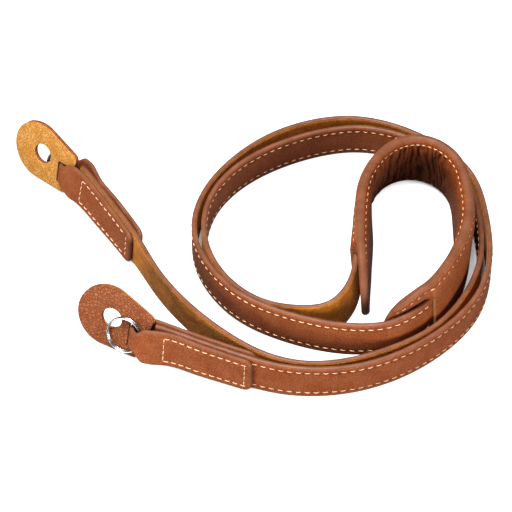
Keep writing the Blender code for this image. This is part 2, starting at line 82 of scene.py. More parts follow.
LOOK_AT = Vector((0.0025, 0.0042, 0.0))
CAMERA_DISTANCE = 1.1
CAMERA_ELEVATION = 49.0
LENS = 194.0
SENSOR_WIDTH = 36.0


def add_object(name, data):
    """A new object in the scene that holds a mesh, a curve, a lamp or a camera."""
    thing = bpy.data.objects.new(name, data)
    bpy.context.scene.collection.objects.link(thing)
    return thing


def new_material(name):
    """A material, its node tree and its one shader."""
    material = bpy.data.materials.new(name)
    material.use_nodes = True
    return material, material.node_tree, material.node_tree.nodes["Principled BSDF"]


def node(tree, kind, inputs=None, **settings):
    """One node: settings are its options, inputs are its sockets' values or the sockets that feed them."""
    made = tree.nodes.new(kind)
    for key, value in settings.items():
        setattr(made, key, value)
    for key, value in (inputs or {}).items():
        if isinstance(value, bpy.types.NodeSocket):
            tree.links.new(value, made.inputs[key])
        else:
            made.inputs[key].default_value = value
    return made


def calc(tree, operation, first, second=0.0, third=0.0):
    """One sum on two or three numbers."""
    made = node(tree, "ShaderNodeMath", {0: first, 1: second, 2: third}, operation=operation)
    return made.outputs[0]


bpy.ops.mesh.primitive_plane_add(size=BOARD_SIZE)
board = bpy.context.object
board.name = "table_board"
board_paint, tree, shader = new_material("white_board")
seen = node(tree, "ShaderNodeLightPath").outputs["Is Camera Ray"]
brightness = node(tree, "ShaderNodeMapRange", {"Value": seen, "To Min": BOARD_BOUNCE, "To Max": BOARD_SEEN})
openness = node(tree, "ShaderNodeAmbientOcclusion", {"Distance": NARROW_GAP}).outputs["AO"]
glow = node(tree, "ShaderNodeMapRange",
            {"Value": openness, "From Min": GAP_SHUT, "From Max": GAP_OPEN, "To Max": BOARD_GLOW})
tree.links.new(brightness.outputs["Result"], shader.inputs["Base Color"])
tree.links.new(calc(tree, "MULTIPLY", glow.outputs["Result"], seen), shader.inputs["Emission Strength"])
shader.inputs["Emission Color"].default_value = WHITE
shader.inputs["Roughness"].default_value = BOARD_ROUGHNESS
shader.inputs["Specular IOR Level"].default_value = 0.0
board.data.materials.append(board_paint)

room = bpy.data.worlds.new("studio")
room.use_nodes = True
room.node_tree.nodes["Background"].inputs["Color"].default_value = WHITE
room.node_tree.nodes["Background"].inputs["Strength"].default_value = ROOM_LIGHT
bpy.context.scene.world = room
bpy.context.scene.view_settings.view_transform = "Standard"


def add_lamp(name, place, aim, size, power):
    """A square soft lamp that faces a point."""
    lamp = bpy.data.lights.new(name, "AREA")
    lamp.shape = "SQUARE"
    lamp.size = size
    lamp.energy = power
    holder = add_object(name, lamp)
    holder.location = place
    holder.rotation_euler = (Vector(aim) - Vector(place)).to_track_quat("-Z", "Y").to_euler()
    holder.visible_camera = False


NEAR_STRANDS = (0.0, -0.02, 0.0)
add_lamp("top_softbox", (-0.13, -0.02, 0.9), (0.0, 0.0, 0.0), 0.4, 17.0)
add_lamp("right_softbox", (0.30, -0.45, 0.13), NEAR_STRANDS, 0.22, 2.5)
add_lamp("left_softbox", (-0.42, -0.36, 0.13), NEAR_STRANDS, 0.22, 1.9)

elevation = math.radians(CAMERA_ELEVATION)
camera = add_object("camera", bpy.data.cameras.new("camera"))
camera.location = LOOK_AT + CAMERA_DISTANCE * Vector((0.0, -math.cos(elevation), math.sin(elevation)))
camera.rotation_euler = (LOOK_AT - camera.location).to_track_quat("-Z", "Y").to_euler()
camera.data.lens = LENS
camera.data.sensor_width = SENSOR_WIDTH
bpy.context.scene.camera = camera

# The strap's smooth leather
# One long strip of full-grain leather, skived to 1 mm, that lies coiled on its edge. Its border is
# rolled a little by the stitches, which pull a shallow channel along both sides.
MM = 0.001
LAYOUT_MIDDLE = (-2.5, -4.2)
FLOOR_GAP = 0.1
STRAP_HALF = 8.0
STRAP_HALF_THICKNESS = 1.1
STRAP_START = 12.0
STRAP_STEP = 1.2
STITCH_INSET = 2.5
STITCH_ROW = STRAP_HALF - STITCH_INSET
STITCH_PITCH = 3.4
EDGE_ROUND = 0.9
PAINT_DEPTH = 0.14
LEATHER_SIDE = 1.07
LINING_SIDE = 1.02
PARTING_HALF = 0.04
PARTING_REACH = 2.6
SHARP_ANGLE = math.radians(50)
BEND_REACH = 2.5
HEADING_REACH = 0.05
LEATHER_DARK = (0.10, 0.018, 0.004, 1.0)
LEATHER_MAIN = (0.270, 0.066, 0.017, 1.0)
LEATHER_LIGHT = (0.37, 0.115, 0.040, 1.0)
LEATHER_ROUGHNESS = 0.45
CREASE_ROUGHNESS = 0.15
CREASE_WIDTH = 0.22
LEATHER_GLOSS = 0.16
RUBBED_SHARE = 0.55
GRAIN_WANDER = 1.7
FINE_GRAIN = 0.45
# Painted shade: nearly black in the needle holes, and darker along the stitch groove and at the bottom of
# the pad back's gathers.
HOLE_SHADE_COLOUR = (0.02, 0.006, 0.003, 1.0)
HOLE_SIZE = 0.3
HOLE_CORE = 0.35
HOLE_DEPTH = 2.5
PULL_FROM = 0.1
PULL_TO = 0.75
PULL_SHADE = 0.22
FOLD_SHADE_FROM = 0.3
FOLD_SHADE_TO = 1.1
FOLD_SHADE = 0.85

# Stations of the strap's line from end A to end B: where it is in plan, how far its lower edge is
# lifted, and how many degrees its upper edge tips towards the smooth leather.
Station = namedtuple("Station", "x y rise lean")
OUTER_TURN_FROM_A = [
    Station(-80.8, 39.0, 0.8, 17),
    Station(-71.6, 32.4, 1.0, 14),
    Station(-64.6, 23.1, 0.8, 11),
    Station(-55.9, 10.1, 0.5, 8),
    Station(-46.9, -4.6, 0.2, 4),
    Station(-38.5, -20.5, 0.0, 1),
    Station(-26.3, -37.6, 0.0, 0),
    Station(-10.6, -53.0, 0.0, 0),
    Station(4.8, -63.1, 0.0, 0),
    Station(20.4, -67.0, 0.0, 0),
    Station(36.0, -65.2, 0.0, 0),
    Station(51.4, -59.5, 0.0, 0),
    Station(66.9, -50.2, 0.0, 0),
    Station(81.2, -32.0, 0.0, 0),
    Station(88.2, -11.0, 0.0, 0),
    Station(88.3, 8.5, 0.0, 0),
    Station(83.6, 29.6, 0.0, 0),
    Station(73.0, 43.4, 0.0, 2),
    Station(58.4, 52.6, 0.0, 3),
    Station(42.4, 56.6, 0.0, 3),
    Station(26.3, 54.3, 0.0, 3),
    Station(10.1, 47.8, 0.0, 2),
    Station(-5.6, 36.8, 0.0, 1),
    Station(-16.6, 21.8, 0.0, 0),
    Station(-20.6, 2.5, 0.0, 0),
]
INNER_TURN_FROM_A = [
    Station(-15.0, -19.0, 0.0, 2),
    Station(0.7, -36.2, 0.6, 4),
    Station(16.7, -42.6, 3.0, 6),
    Station(29.4, -42.2, 5.5, 9),
    Station(36.6, -34.2, 7.6, 9),
    Station(39.4, -23.0, 8.2, 7),
]
THROUGH_THE_PAD = [
    Station(41.0, -10.0, 8.2, 6),
    Station(42.2, 3.0, 8.2, 5),
    Station(42.4, 14.0, 8.2, -2),
    Station(44.9, 23.6, 8.2, -7.5),
    Station(50.2, 32.0, 8.2, -11),
    Station(60.0, 38.3, 8.2, -12.5),
    Station(69.4, 37.3, 8.2, -11),
    Station(76.3, 31.6, 8.2, -7),
    Station(80.7, 23.0, 8.2, -2),
    Station(82.3, 10.0, 8.2, 2),
    Station(82.3, -4.5, 8.2, 3),
    Station(79.2, -20.0, 8.2, -1),
    Station(73.5, -32.5, 8.2, -3),
    Station(66.5, -43.0, 8.2, -5),
]
INNER_TURN_TO_B = [
    Station(59.3, -49.7, 8.0, -5),
    Station(50.5, -53.8, 7.2, -5),
    Station(40.7, -54.3, 6.0, -6),
    Station(29.0, -52.0, 4.5, -7),
    Station(11.6, -45.6, 3.0, -6),
    Station(-5.2, -35.6, 2.2, -4),
    Station(-17.8, -20.0, 1.0, -2),
    Station(-24.4, 1.0, 0.0, 0),
    Station(-20.9, 20.2, 0.0, 0),
]
OUTER_TURN_TO_B = [
    Station(-9.6, 38.1, 0.0, 0),
    Station(6.2, 52.1, 0.0, -1),
    Station(22.3, 59.5, 0.0, -2),
    Station(40.0, 61.7, 0.0, -2),
    Station(58.2, 56.7, 0.0, -2),
    Station(73.9, 46.4, 0.0, -1),
    Station(85.8, 32.0, 0.0, 0),
    Station(91.2, 9.0, 0.0, 0),
    Station(91.6, -12.0, 0.0, 0),
    Station(85.9, -32.2, 0.0, 0),
    Station(71.1, -50.5, 0.0, 0),
    Station(55.2, -61.7, 0.0, 0),
    Station(39.7, -67.9, 0.0, 0),
    Station(24.2, -70.1, 0.0, -2),
    Station(8.7, -68.7, 0.0, -4),
    Station(-6.8, -63.7, 0.2, -5.5),
    Station(-22.2, -57.5, 0.4, -8),
    Station(-36.6, -51.8, 0.7, -14),
    Station(-43.4, -49.6, 0.8, -19),
    Station(-50.0, -46.9, 0.8, -22),
]


class Line:
    """A smooth line through rows of numbers: a natural cubic in the distance between the rows."""

    def __init__(self, rows):
        self.rows = np.array(rows, float)
        steps = np.linalg.norm(np.diff(self.rows[:, :2], axis=0), axis=1)
        self.knots = np.concatenate([[0.0], np.cumsum(steps)])
        self.length = float(self.knots[-1])
        count = len(self.rows)
        system = np.eye(count)
        target = np.zeros_like(self.rows)
        for i in range(1, count - 1):
            before = steps[i - 1]
            after = steps[i]
            system[i, i - 1:i + 2] = (before, 2 * (before + after), after)
            rise_after = (self.rows[i + 1] - self.rows[i]) / after
            rise_before = (self.rows[i] - self.rows[i - 1]) / before
            target[i] = 6 * (rise_after - rise_before)
        self.bends = np.linalg.solve(system, target)

    def at(self, distance):
        """The row of numbers at a distance along the line."""
        i = int(np.clip(np.searchsorted(self.knots, distance) - 1, 0, len(self.knots) - 2))
        step = self.knots[i + 1] - self.knots[i]
        ahead = self.knots[i + 1] - distance
        past = distance - self.knots[i]
        curve = (self.bends[i] * ahead ** 3 + self.bends[i + 1] * past ** 3) / (6 * step)
        start = (self.rows[i] / step - self.bends[i] * step / 6) * ahead
        end = (self.rows[i + 1] / step - self.bends[i + 1] * step / 6) * past
        return curve + start + end

    def turn(self, distance):
        """How sharply the line bends, in radians a millimetre, positive towards the smooth leather."""
        before, middle, after = (self.at(distance + k * BEND_REACH)[:2] for k in (-1, 0, 1))
        first = middle - before
        second = after - middle
        cross = first[0] * second[1] - first[1] * second[0]
        return math.asin(cross / (np.linalg.norm(first) * np.linalg.norm(second))) / BEND_REACH


def section(line, distance):
    """The band's middle at a distance, and its directions there: along, up across it, and out."""
    x, y, rise, lean = line.at(distance)
    ahead = line.at(distance + HEADING_REACH)[:2] - line.at(distance - HEADING_REACH)[:2]
    ahead /= np.linalg.norm(ahead)
    left = np.array([-ahead[1], ahead[0], 0.0])
    tip = math.radians(lean)
    upward = left * math.sin(tip) + np.array([0.0, 0.0, math.cos(tip)])
    outward = left * math.cos(tip) - np.array([0.0, 0.0, math.sin(tip)])
    middle = FLOOR_GAP + rise + STRAP_HALF * math.cos(tip)
    middle += STRAP_HALF_THICKNESS * abs(math.sin(tip))
    point = np.array([x - LAYOUT_MIDDLE[0], y - LAYOUT_MIDDLE[1], middle])
    return point, np.array([ahead[0], ahead[1], 0.0]), upward, outward


def place(line, distance, across, out):
    """A point beside the line, in metres in the strap's own frame."""
    point, _, upward, outward = section(line, distance)
    return (point + upward * across + outward * out) * MM


def turn_outwards(shape):
    """Turns all faces of a closed shape outwards."""
    shape.normal_update()
    bmesh.ops.recalc_face_normals(shape, faces=shape.faces)


def skin(name, rings, flat, marks=None):
    """A closed surface through rings of points. flat holds where each point lies on the flat hide, in
    millimetres, with the first point of a ring repeated at its end; marks are numbers kept by point."""
    count = len(rings)
    around = len(rings[0])
    shape = bmesh.new()
    layer = shape.loops.layers.uv.new("hide")
    marks = marks or {}
    kept = {mark: shape.verts.layers.float.new(mark) for mark in marks}
    verts = [[shape.verts.new(point) for point in ring] for ring in rings]
    for mark, values in marks.items():
        for i in range(count):
            for j in range(around):
                verts[i][j][kept[mark]] = float(values[i][j])
    for i in range(count - 1):
        for j in range(around):
            k = (j + 1) % around
            face = shape.faces.new((verts[i][j], verts[i][k], verts[i + 1][k], verts[i + 1][j]))
            corners = (flat[i][j], flat[i][j + 1], flat[i + 1][j + 1], flat[i + 1][j])
            for loop, corner in zip(face.loops, corners):
                loop[layer].uv = (corner[0] * MM, corner[1] * MM)
    for i in (0, count - 1):
        face = shape.faces.new(verts[i])
        for j, loop in enumerate(face.loops):
            loop[layer].uv = (flat[i][j][0] * MM, flat[i][j][1] * MM)
    turn_outwards(shape)
    mesh = bpy.data.meshes.new(name)
    shape.to_mesh(mesh)
    shape.free()
    mesh.shade_smooth()
    mesh.set_sharp_from_angle(angle=SHARP_ANGLE)
    return add_object(name, mesh)


def flat_lay(distances, profile):
    """Where a ribbon's points lie on the flat hide: along its length, and round its section."""
    around = [profile[0][0]]
    for (u1, v1), (u2, v2) in zip(profile, profile[1:] + profile[:1]):
        around.append(around[-1] + math.hypot(u2 - u1, v2 - v1))
    return [[(distance, v) for v in around] for distance in distances]


def ribbon(name, line, distances, profile):
    """A long band with one closed section, given as across and out, swept along the line."""
    rings = []
    for distance in distances:
        point, _, upward, outward = section(line, distance)
        rings.append([(point + upward * u + outward * v) * MM for u, v in profile])
    return skin(name, rings, flat_lay(distances, profile))


def rounded_side(half, thickness, turns):
    """Points on a band's rounded border, at turns in degrees from straight across to straight out."""
    middle = half - EDGE_ROUND
    turns = [math.radians(turn) for turn in turns]
    return [(middle + EDGE_ROUND * math.cos(t), thickness * math.sin(t)) for t in turns]


def mirrored(half_profile):
    """A whole section from its upper half, which runs from the middle outwards."""
    return [(-u, v) for u, v in reversed(half_profile) if u > 0] + half_profile


def ramp(tree, value, low, high, start=0.0, end=1.0):
    """A smooth step of a value from start at low to end at high."""
    inputs = {"Value": value, "From Min": low, "From Max": high, "To Min": start, "To Max": end}
    return node(tree, "ShaderNodeMapRange", inputs, interpolation_type="SMOOTHSTEP").outputs["Result"]


def blend_colours(tree, share, first, second):
    """One colour from two, mixed by a share."""
    return node(tree, "ShaderNodeMix", {0: share, 6: first, 7: second}, data_type="RGBA").outputs[2]


def noise(tree, where, scale, detail, **more):
    """A noise texture at a place; more gives its other sockets' values."""
    return node(tree, "ShaderNodeTexNoise", {"Vector": where, "Scale": scale, "Detail": detail, **more})


def add_bump(tree, shader, height, depth):
    """Relief on a shader from a height, with its depth in millimetres."""
    bump = node(tree, "ShaderNodeBump", {"Height": height, "Strength": 1.0, "Distance": depth * MM})
    tree.links.new(bump.outputs["Normal"], shader.inputs["Normal"])


def new_group(name, inputs, outputs):
    """A shader node group with its sockets, and the nodes that hold them inside it."""
    group = bpy.data.node_groups.new(name, "ShaderNodeTree")
    for title, kind, value in inputs:
        socket = group.interface.new_socket(name=title, in_out="INPUT", socket_type=kind)
        if value is not None:
            socket.default_value = value
    for title, kind in outputs:
        group.interface.new_socket(name=title, in_out="OUTPUT", socket_type=kind)
    return group, group.nodes.new("NodeGroupInput"), group.nodes.new("NodeGroupOutput")


def make_grain_group():
    """Leather grain: small uneven pebbles with creases between them, in millimetres on the hide."""
    group, given, out = new_group(
        "leather_grain",
        [("Place", "NodeSocketVector", None), ("Pebble", "NodeSocketFloat", None),
         ("Crease", "NodeSocketFloat", CREASE_WIDTH)],
        [("Height", "NodeSocketFloat"), ("Creases", "NodeSocketFloat"), ("Tone", "NodeSocketFloat")])
    where = given.outputs["Place"]
    shift = node(group, "ShaderNodeVectorMath",
                 {0: noise(group, where, 0.9, 3.0).outputs["Color"], 1: (0.5, 0.5, 0.5)},
                 operation="SUBTRACT")
    shifted = node(group, "ShaderNodeVectorMath",
                   {0: shift.outputs[0], 1: (GRAIN_WANDER, GRAIN_WANDER, GRAIN_WANDER), 2: where},
                   operation="MULTIPLY_ADD")
    cells = node(group, "ShaderNodeTexVoronoi",
                 {"Vector": shifted.outputs[0], "Scale": given.outputs["Pebble"], "Randomness": 1.0},
                 feature="DISTANCE_TO_EDGE")
    top = ramp(group, cells.outputs["Distance"], 0.0, given.outputs["Crease"])
    fine = noise(group, where, 4.5, 4.0, Roughness=0.6)
    height = calc(group, "MULTIPLY_ADD", fine.outputs["Fac"], FINE_GRAIN, top)
    cloud = noise(group, where, 0.13, 5.0, Roughness=0.62)
    group.links.new(height, out.inputs["Height"])
    group.links.new(calc(group, "SUBTRACT", 1.0, top), out.inputs["Creases"])
    group.links.new(ramp(group, cloud.outputs["Fac"], 0.32, 0.68), out.inputs["Tone"])
    return group


def make_hole_group():
    """The needle holes of rows of stitches that run along the hide, midway between the stitches."""
    group, given, out = new_group(
        "needle_holes",
        [("Place", "NodeSocketVector", None), ("Row", "NodeSocketFloat", None),
         ("Pitch", "NodeSocketFloat", STITCH_PITCH), ("Size", "NodeSocketFloat", HOLE_SIZE)],
        [("Hole", "NodeSocketFloat"), ("Pull", "NodeSocketFloat")])
    spot = node(group, "ShaderNodeSeparateXYZ", {0: given.outputs["Place"]})
    share = calc(group, "FRACT", calc(group, "DIVIDE", spot.outputs["X"], given.outputs["Pitch"]))
    along = calc(group, "MULTIPLY", calc(group, "SUBTRACT", share, 0.5), given.outputs["Pitch"])
    side = calc(group, "SUBTRACT", calc(group, "ABSOLUTE", spot.outputs["Y"]), given.outputs["Row"])
    apart = calc(group, "SQRT", calc(group, "ADD", calc(group, "MULTIPLY", along, along),
                                     calc(group, "MULTIPLY", side, side)))
    size = given.outputs["Size"]
    core = calc(group, "MULTIPLY", size, HOLE_CORE)
    pull = ramp(group, calc(group, "ABSOLUTE", side), PULL_FROM, PULL_TO, 1.0, 0.0)
    group.links.new(ramp(group, apart, core, size, 1.0, 0.0), out.inputs["Hole"])
    group.links.new(pull, out.inputs["Pull"])
    return group


GRAIN = make_grain_group()
HOLES = make_hole_group()


def place_on_hide(tree):
    """Where a point lies on the flat hide, in millimetres."""
    flat = node(tree, "ShaderNodeUVMap", uv_map="hide")
    inputs = {"Vector": flat.outputs["UV"], "Scale": (1 / MM, 1 / MM, 1 / MM)}
    return node(tree, "ShaderNodeMapping", inputs, vector_type="POINT").outputs["Vector"]


def leather(name, dark, main, light, pebble=1.25, depth=0.05, crease_shade=0.55, row=None, painted=False,
            gathered=False):
    """Pigmented leather: the grain's creases are darkened with painted shade, rubbed pebbles are lighter,
    and needle holes are painted nearly black as their shade, with painted shade along the stitch groove.
    A painted piece has its border coated with edge paint where its points say so, and a gathered one
    has painted shade at the bottom of its folds."""
    material, tree, shader = new_material(name)
    spot = place_on_hide(tree)
    grain = node(tree, "ShaderNodeGroup", node_tree=GRAIN)
    tree.links.new(spot, grain.inputs["Place"])
    grain.inputs["Pebble"].default_value = pebble
    rubbed = calc(tree, "MULTIPLY", grain.outputs["Tone"], RUBBED_SHARE)
    colour = blend_colours(tree, rubbed, main, light)
    # Painted shade in the grain's creases: darker towards the bottom of each crease.
    colour = blend_colours(tree, calc(tree, "MULTIPLY", grain.outputs["Creases"], crease_shade), colour, dark)
    height = grain.outputs["Height"]
    if row is not None:
        holes = node(tree, "ShaderNodeGroup", node_tree=HOLES)
        tree.links.new(spot, holes.inputs["Place"])
        holes.inputs["Row"].default_value = row
        # Painted shade along the stitch groove, and the needle holes nearly black as their shade.
        shade = calc(tree, "MULTIPLY", holes.outputs["Pull"], PULL_SHADE)
        colour = blend_colours(tree, shade, colour, dark)
        colour = blend_colours(tree, holes.outputs["Hole"], colour, HOLE_SHADE_COLOUR)
        height = calc(tree, "MULTIPLY_ADD", holes.outputs["Hole"], -HOLE_DEPTH, height)
    if gathered:
        # Painted shade at the bottom of the gathers' folds.
        fold = node(tree, "ShaderNodeAttribute", attribute_name="fold").outputs["Fac"]
        shade = ramp(tree, fold, FOLD_SHADE_FROM, FOLD_SHADE_TO, 0.0, FOLD_SHADE)
        colour = blend_colours(tree, shade, colour, dark)
    if painted:
        coat = node(tree, "ShaderNodeAttribute", attribute_name="painted").outputs["Fac"]
        tint = blend_colours(tree, grain.outputs["Tone"], PAINT_MAIN, PAINT_LIGHT)
        colour = blend_colours(tree, coat, colour, tint)
        height = calc(tree, "MULTIPLY", height, calc(tree, "SUBTRACT", 1.0, coat))
    tree.links.new(colour, shader.inputs["Base Color"])
    rough = calc(tree, "MULTIPLY_ADD", grain.outputs["Creases"], CREASE_ROUGHNESS, LEATHER_ROUGHNESS)
    tree.links.new(rough, shader.inputs["Roughness"])
    add_bump(tree, shader, height, depth)
    shader.inputs["Specular IOR Level"].default_value = LEATHER_GLOSS
    return material


strap_line = Line(OUTER_TURN_FROM_A + INNER_TURN_FROM_A + THROUGH_THE_PAD
                  + INNER_TURN_TO_B + OUTER_TURN_TO_B)
strap_steps = int(round((strap_line.length - 2 * STRAP_START) / STRAP_STEP))
strap_distances = list(np.linspace(STRAP_START, strap_line.length - STRAP_START, strap_steps))
PARTING = [(PARTING_REACH, PARTING_HALF), (-PARTING_REACH, PARTING_HALF)]
BORDER_TURNS = (80, 62, 44, 26, 3)
smooth_face = [(0.0, 1.14), (2.5, 1.13), (4.2, 1.10), (4.9, 1.05), (5.2, 0.98), (STITCH_ROW, 0.94),
               (5.8, 0.98), (6.2, 1.05), (6.6, 1.08)]
leather_border = rounded_side(STRAP_HALF - PAINT_DEPTH, LEATHER_SIDE, BORDER_TURNS)
leather_profile = mirrored(smooth_face + leather_border) + PARTING
strap_leather = ribbon("strap_smooth_leather", strap_line, strap_distances, leather_profile)
strap_leather.data.materials.append(
    leather("strap_leather", LEATHER_DARK, LEATHER_MAIN, LEATHER_LIGHT, row=STITCH_ROW))
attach(strap_leather, "root")
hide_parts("strap_leather")

# The strap's suede lining
# A split of the same hide, nap outwards, glued and sewn to the back of the smooth leather. It is golden
# where the light reaches it and brushed unevenly along its length.
SUEDE_DARK = (0.17, 0.040, 0.003, 1.0)
SUEDE_MAIN = (0.40, 0.118, 0.007, 1.0)
SUEDE_LIGHT = (0.62, 0.220, 0.020, 1.0)
SUEDE_ROUGHNESS = 0.92
SUEDE_GLOSS = 0.15
SUEDE_SHEEN = 0.12
SHEEN_TINT = (1.0, 0.75, 0.45, 1.0)
SHEEN_ROUGHNESS = 0.5
BRUSHED_SHARE = 0.8


def make_nap_group():
    """Suede nap: short fibres that lie in brushed patches, in millimetres on the hide."""
    group, given, out = new_group(
        "suede_nap", [("Place", "NodeSocketVector", None)],
        [("Height", "NodeSocketFloat"), ("Fibre", "NodeSocketFloat"), ("Brushed", "NodeSocketFloat")])
    where = given.outputs["Place"]
    patches = noise(group, where, 0.22, 5.0, Roughness=0.6, Distortion=0.6)
    clumps = noise(group, where, 1.3, 6.0, Roughness=0.72, Distortion=0.4)
    fibres = noise(group, where, 5.5, 3.0, Roughness=0.7)
    height = calc(group, "MULTIPLY_ADD", fibres.outputs["Fac"], 0.5, clumps.outputs["Fac"])
    group.links.new(height, out.inputs["Height"])
    group.links.new(ramp(group, clumps.outputs["Fac"], 0.34, 0.66), out.inputs["Fibre"])
    group.links.new(ramp(group, patches.outputs["Fac"], 0.35, 0.65), out.inputs["Brushed"])
    return group


NAP = make_nap_group()


def suede(name, dark, main, light, depth=0.14, clumping=0.7):
    """Suede: matt, with a soft sheen from its fibres and darker clumps between them."""
    material, tree, shader = new_material(name)
    nap = node(tree, "ShaderNodeGroup", node_tree=NAP)
    tree.links.new(place_on_hide(tree), nap.inputs["Place"])
    brushed = blend_colours(tree, calc(tree, "MULTIPLY", nap.outputs["Brushed"], BRUSHED_SHARE), main, light)
    clumped = calc(tree, "SUBTRACT", 1.0, nap.outputs["Fibre"])
    colour = blend_colours(tree, calc(tree, "MULTIPLY", clumped, clumping), brushed, dark)
    tree.links.new(colour, shader.inputs["Base Color"])
    add_bump(tree, shader, nap.outputs["Height"], depth)
    shader.inputs["Roughness"].default_value = SUEDE_ROUGHNESS
    shader.inputs["Specular IOR Level"].default_value = SUEDE_GLOSS
    shader.inputs["Sheen Weight"].default_value = SUEDE_SHEEN
    shader.inputs["Sheen Tint"].default_value = SHEEN_TINT
    shader.inputs["Sheen Roughness"].default_value = SHEEN_ROUGHNESS
    return material


lining_face = [(0.0, -1.03), (3.0, -1.03), (4.9, -1.02), (STITCH_ROW, -0.98), (6.2, -1.0)]
lining_border = rounded_side(STRAP_HALF - PAINT_DEPTH, LINING_SIDE, [-turn for turn in BORDER_TURNS])
lining_profile = mirrored(lining_face + lining_border) + [(u, -v) for u, v in PARTING]
strap_lining = ribbon("strap_suede_lining", strap_line, strap_distances, lining_profile)
strap_lining.data.materials.append(suede("strap_suede", SUEDE_DARK, SUEDE_MAIN, SUEDE_LIGHT))
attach(strap_lining, "root")
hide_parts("strap_lining")

# The painted edges of the strap
# Both cut edges are sanded round and coated with several layers of edge paint, a little darker than
# the leather, which hides the line between the two layers.
PAINT_DARK = (0.070, 0.020, 0.008, 1.0)
PAINT_MAIN = (0.125, 0.041, 0.018, 1.0)
PAINT_LIGHT = (0.180, 0.064, 0.030, 1.0)
PAINT_ROUGHNESS = 0.5
PAINT_GLOSS = 0.3
PAINT_RIPPLE = 0.08
PAINT_TURNS = (-50, -38, -26, -13, 0, 13, 26, 38, 50)
COAT_OUTSIDE = 1.09
COAT_INSIDE = 0.98


def make_edge_paint():
    """Edge paint: smooth and satin, with faint ripples along the edge."""
    material, tree, shader = new_material("edge_paint")
    spot = place_on_hide(tree)
    ripples = noise(tree, spot, 0.55, 4.0).outputs["Fac"]
    patches = noise(tree, spot, 0.12, 3.0).outputs["Fac"]
    colour = blend_colours(tree, ramp(tree, patches, 0.35, 0.65), PAINT_MAIN, PAINT_LIGHT)
    worn = ramp(tree, ripples, 0.52, 0.75, 0.0, 0.4)
    tree.links.new(blend_colours(tree, worn, colour, PAINT_DARK), shader.inputs["Base Color"])
    add_bump(tree, shader, ripples, PAINT_RIPPLE)
    shader.inputs["Roughness"].default_value = PAINT_ROUGHNESS
    shader.inputs["Specular IOR Level"].default_value = PAINT_GLOSS
    return material


def join(name, pieces):
    """One mesh of several, under a new name."""
    with bpy.context.temp_override(active_object=pieces[0], selected_editable_objects=pieces,
                                   selected_objects=pieces):
        bpy.ops.object.join()
    pieces[0].name = name
    pieces[0].data.name = name
    return pieces[0]


coat_outside = rounded_side(STRAP_HALF, COAT_OUTSIDE, PAINT_TURNS)
coat_inside = rounded_side(STRAP_HALF - 2 * PAINT_DEPTH, COAT_INSIDE, reversed(PAINT_TURNS))
upper_coat = ribbon("upper_coat", strap_line, strap_distances, coat_outside + coat_inside)
lower_profile = [(-u, v) for u, v in coat_outside + coat_inside]
lower_coat = ribbon("lower_coat", strap_line, strap_distances, lower_profile)
strap_edges = join("strap_painted_edges", [upper_coat, lower_coat])
strap_edges.data.materials.append(make_edge_paint())
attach(strap_edges, "root")

# The stitches
# Waxed thread in a light tan, sewn in lockstitch 2.5 mm from the edge: each stitch is a short bow of
# thread that dives into the leather at both ends. On the lining's side it sinks into the suede.
THREAD_COLOUR = (0.86, 0.53, 0.32, 1.0)
THREAD_DARK = (0.52, 0.26, 0.12, 1.0)
THREAD_ROUGHNESS = 0.55
THREAD_TWIST = 0.06


def make_thread():
    """Waxed thread: twisted strands, darker in patches where the twist's noise and a coarser noise add up.
    """
    material, tree, shader = new_material("waxed_thread")
    spot = node(tree, "ShaderNodeTexCoord").outputs["Object"]
    twist = noise(tree, spot, 1400.0, 3.0).outputs["Fac"]
    blotches = noise(tree, spot, 60.0, 2.0).outputs["Fac"]
    share = ramp(tree, calc(tree, "ADD", twist, blotches), 0.85, 1.3, 0.0, 0.6)
    tree.links.new(blend_colours(tree, share, THREAD_COLOUR, THREAD_DARK), shader.inputs["Base Color"])
    add_bump(tree, shader, twist, THREAD_TWIST)
    shader.inputs["Roughness"].default_value = THREAD_ROUGHNESS
    return material


THREAD = make_thread()
STITCH_SIZES = {"Stitch Length": 2.25 * MM, "Thread Thickness": 0.36 * MM, "Rise": 0.16 * MM,
                "Sink": 0.26 * MM, "Unevenness": 0.08}
BOW_STEPS = 6
THREAD_SIDES = 7
FIRST_SEED = 11


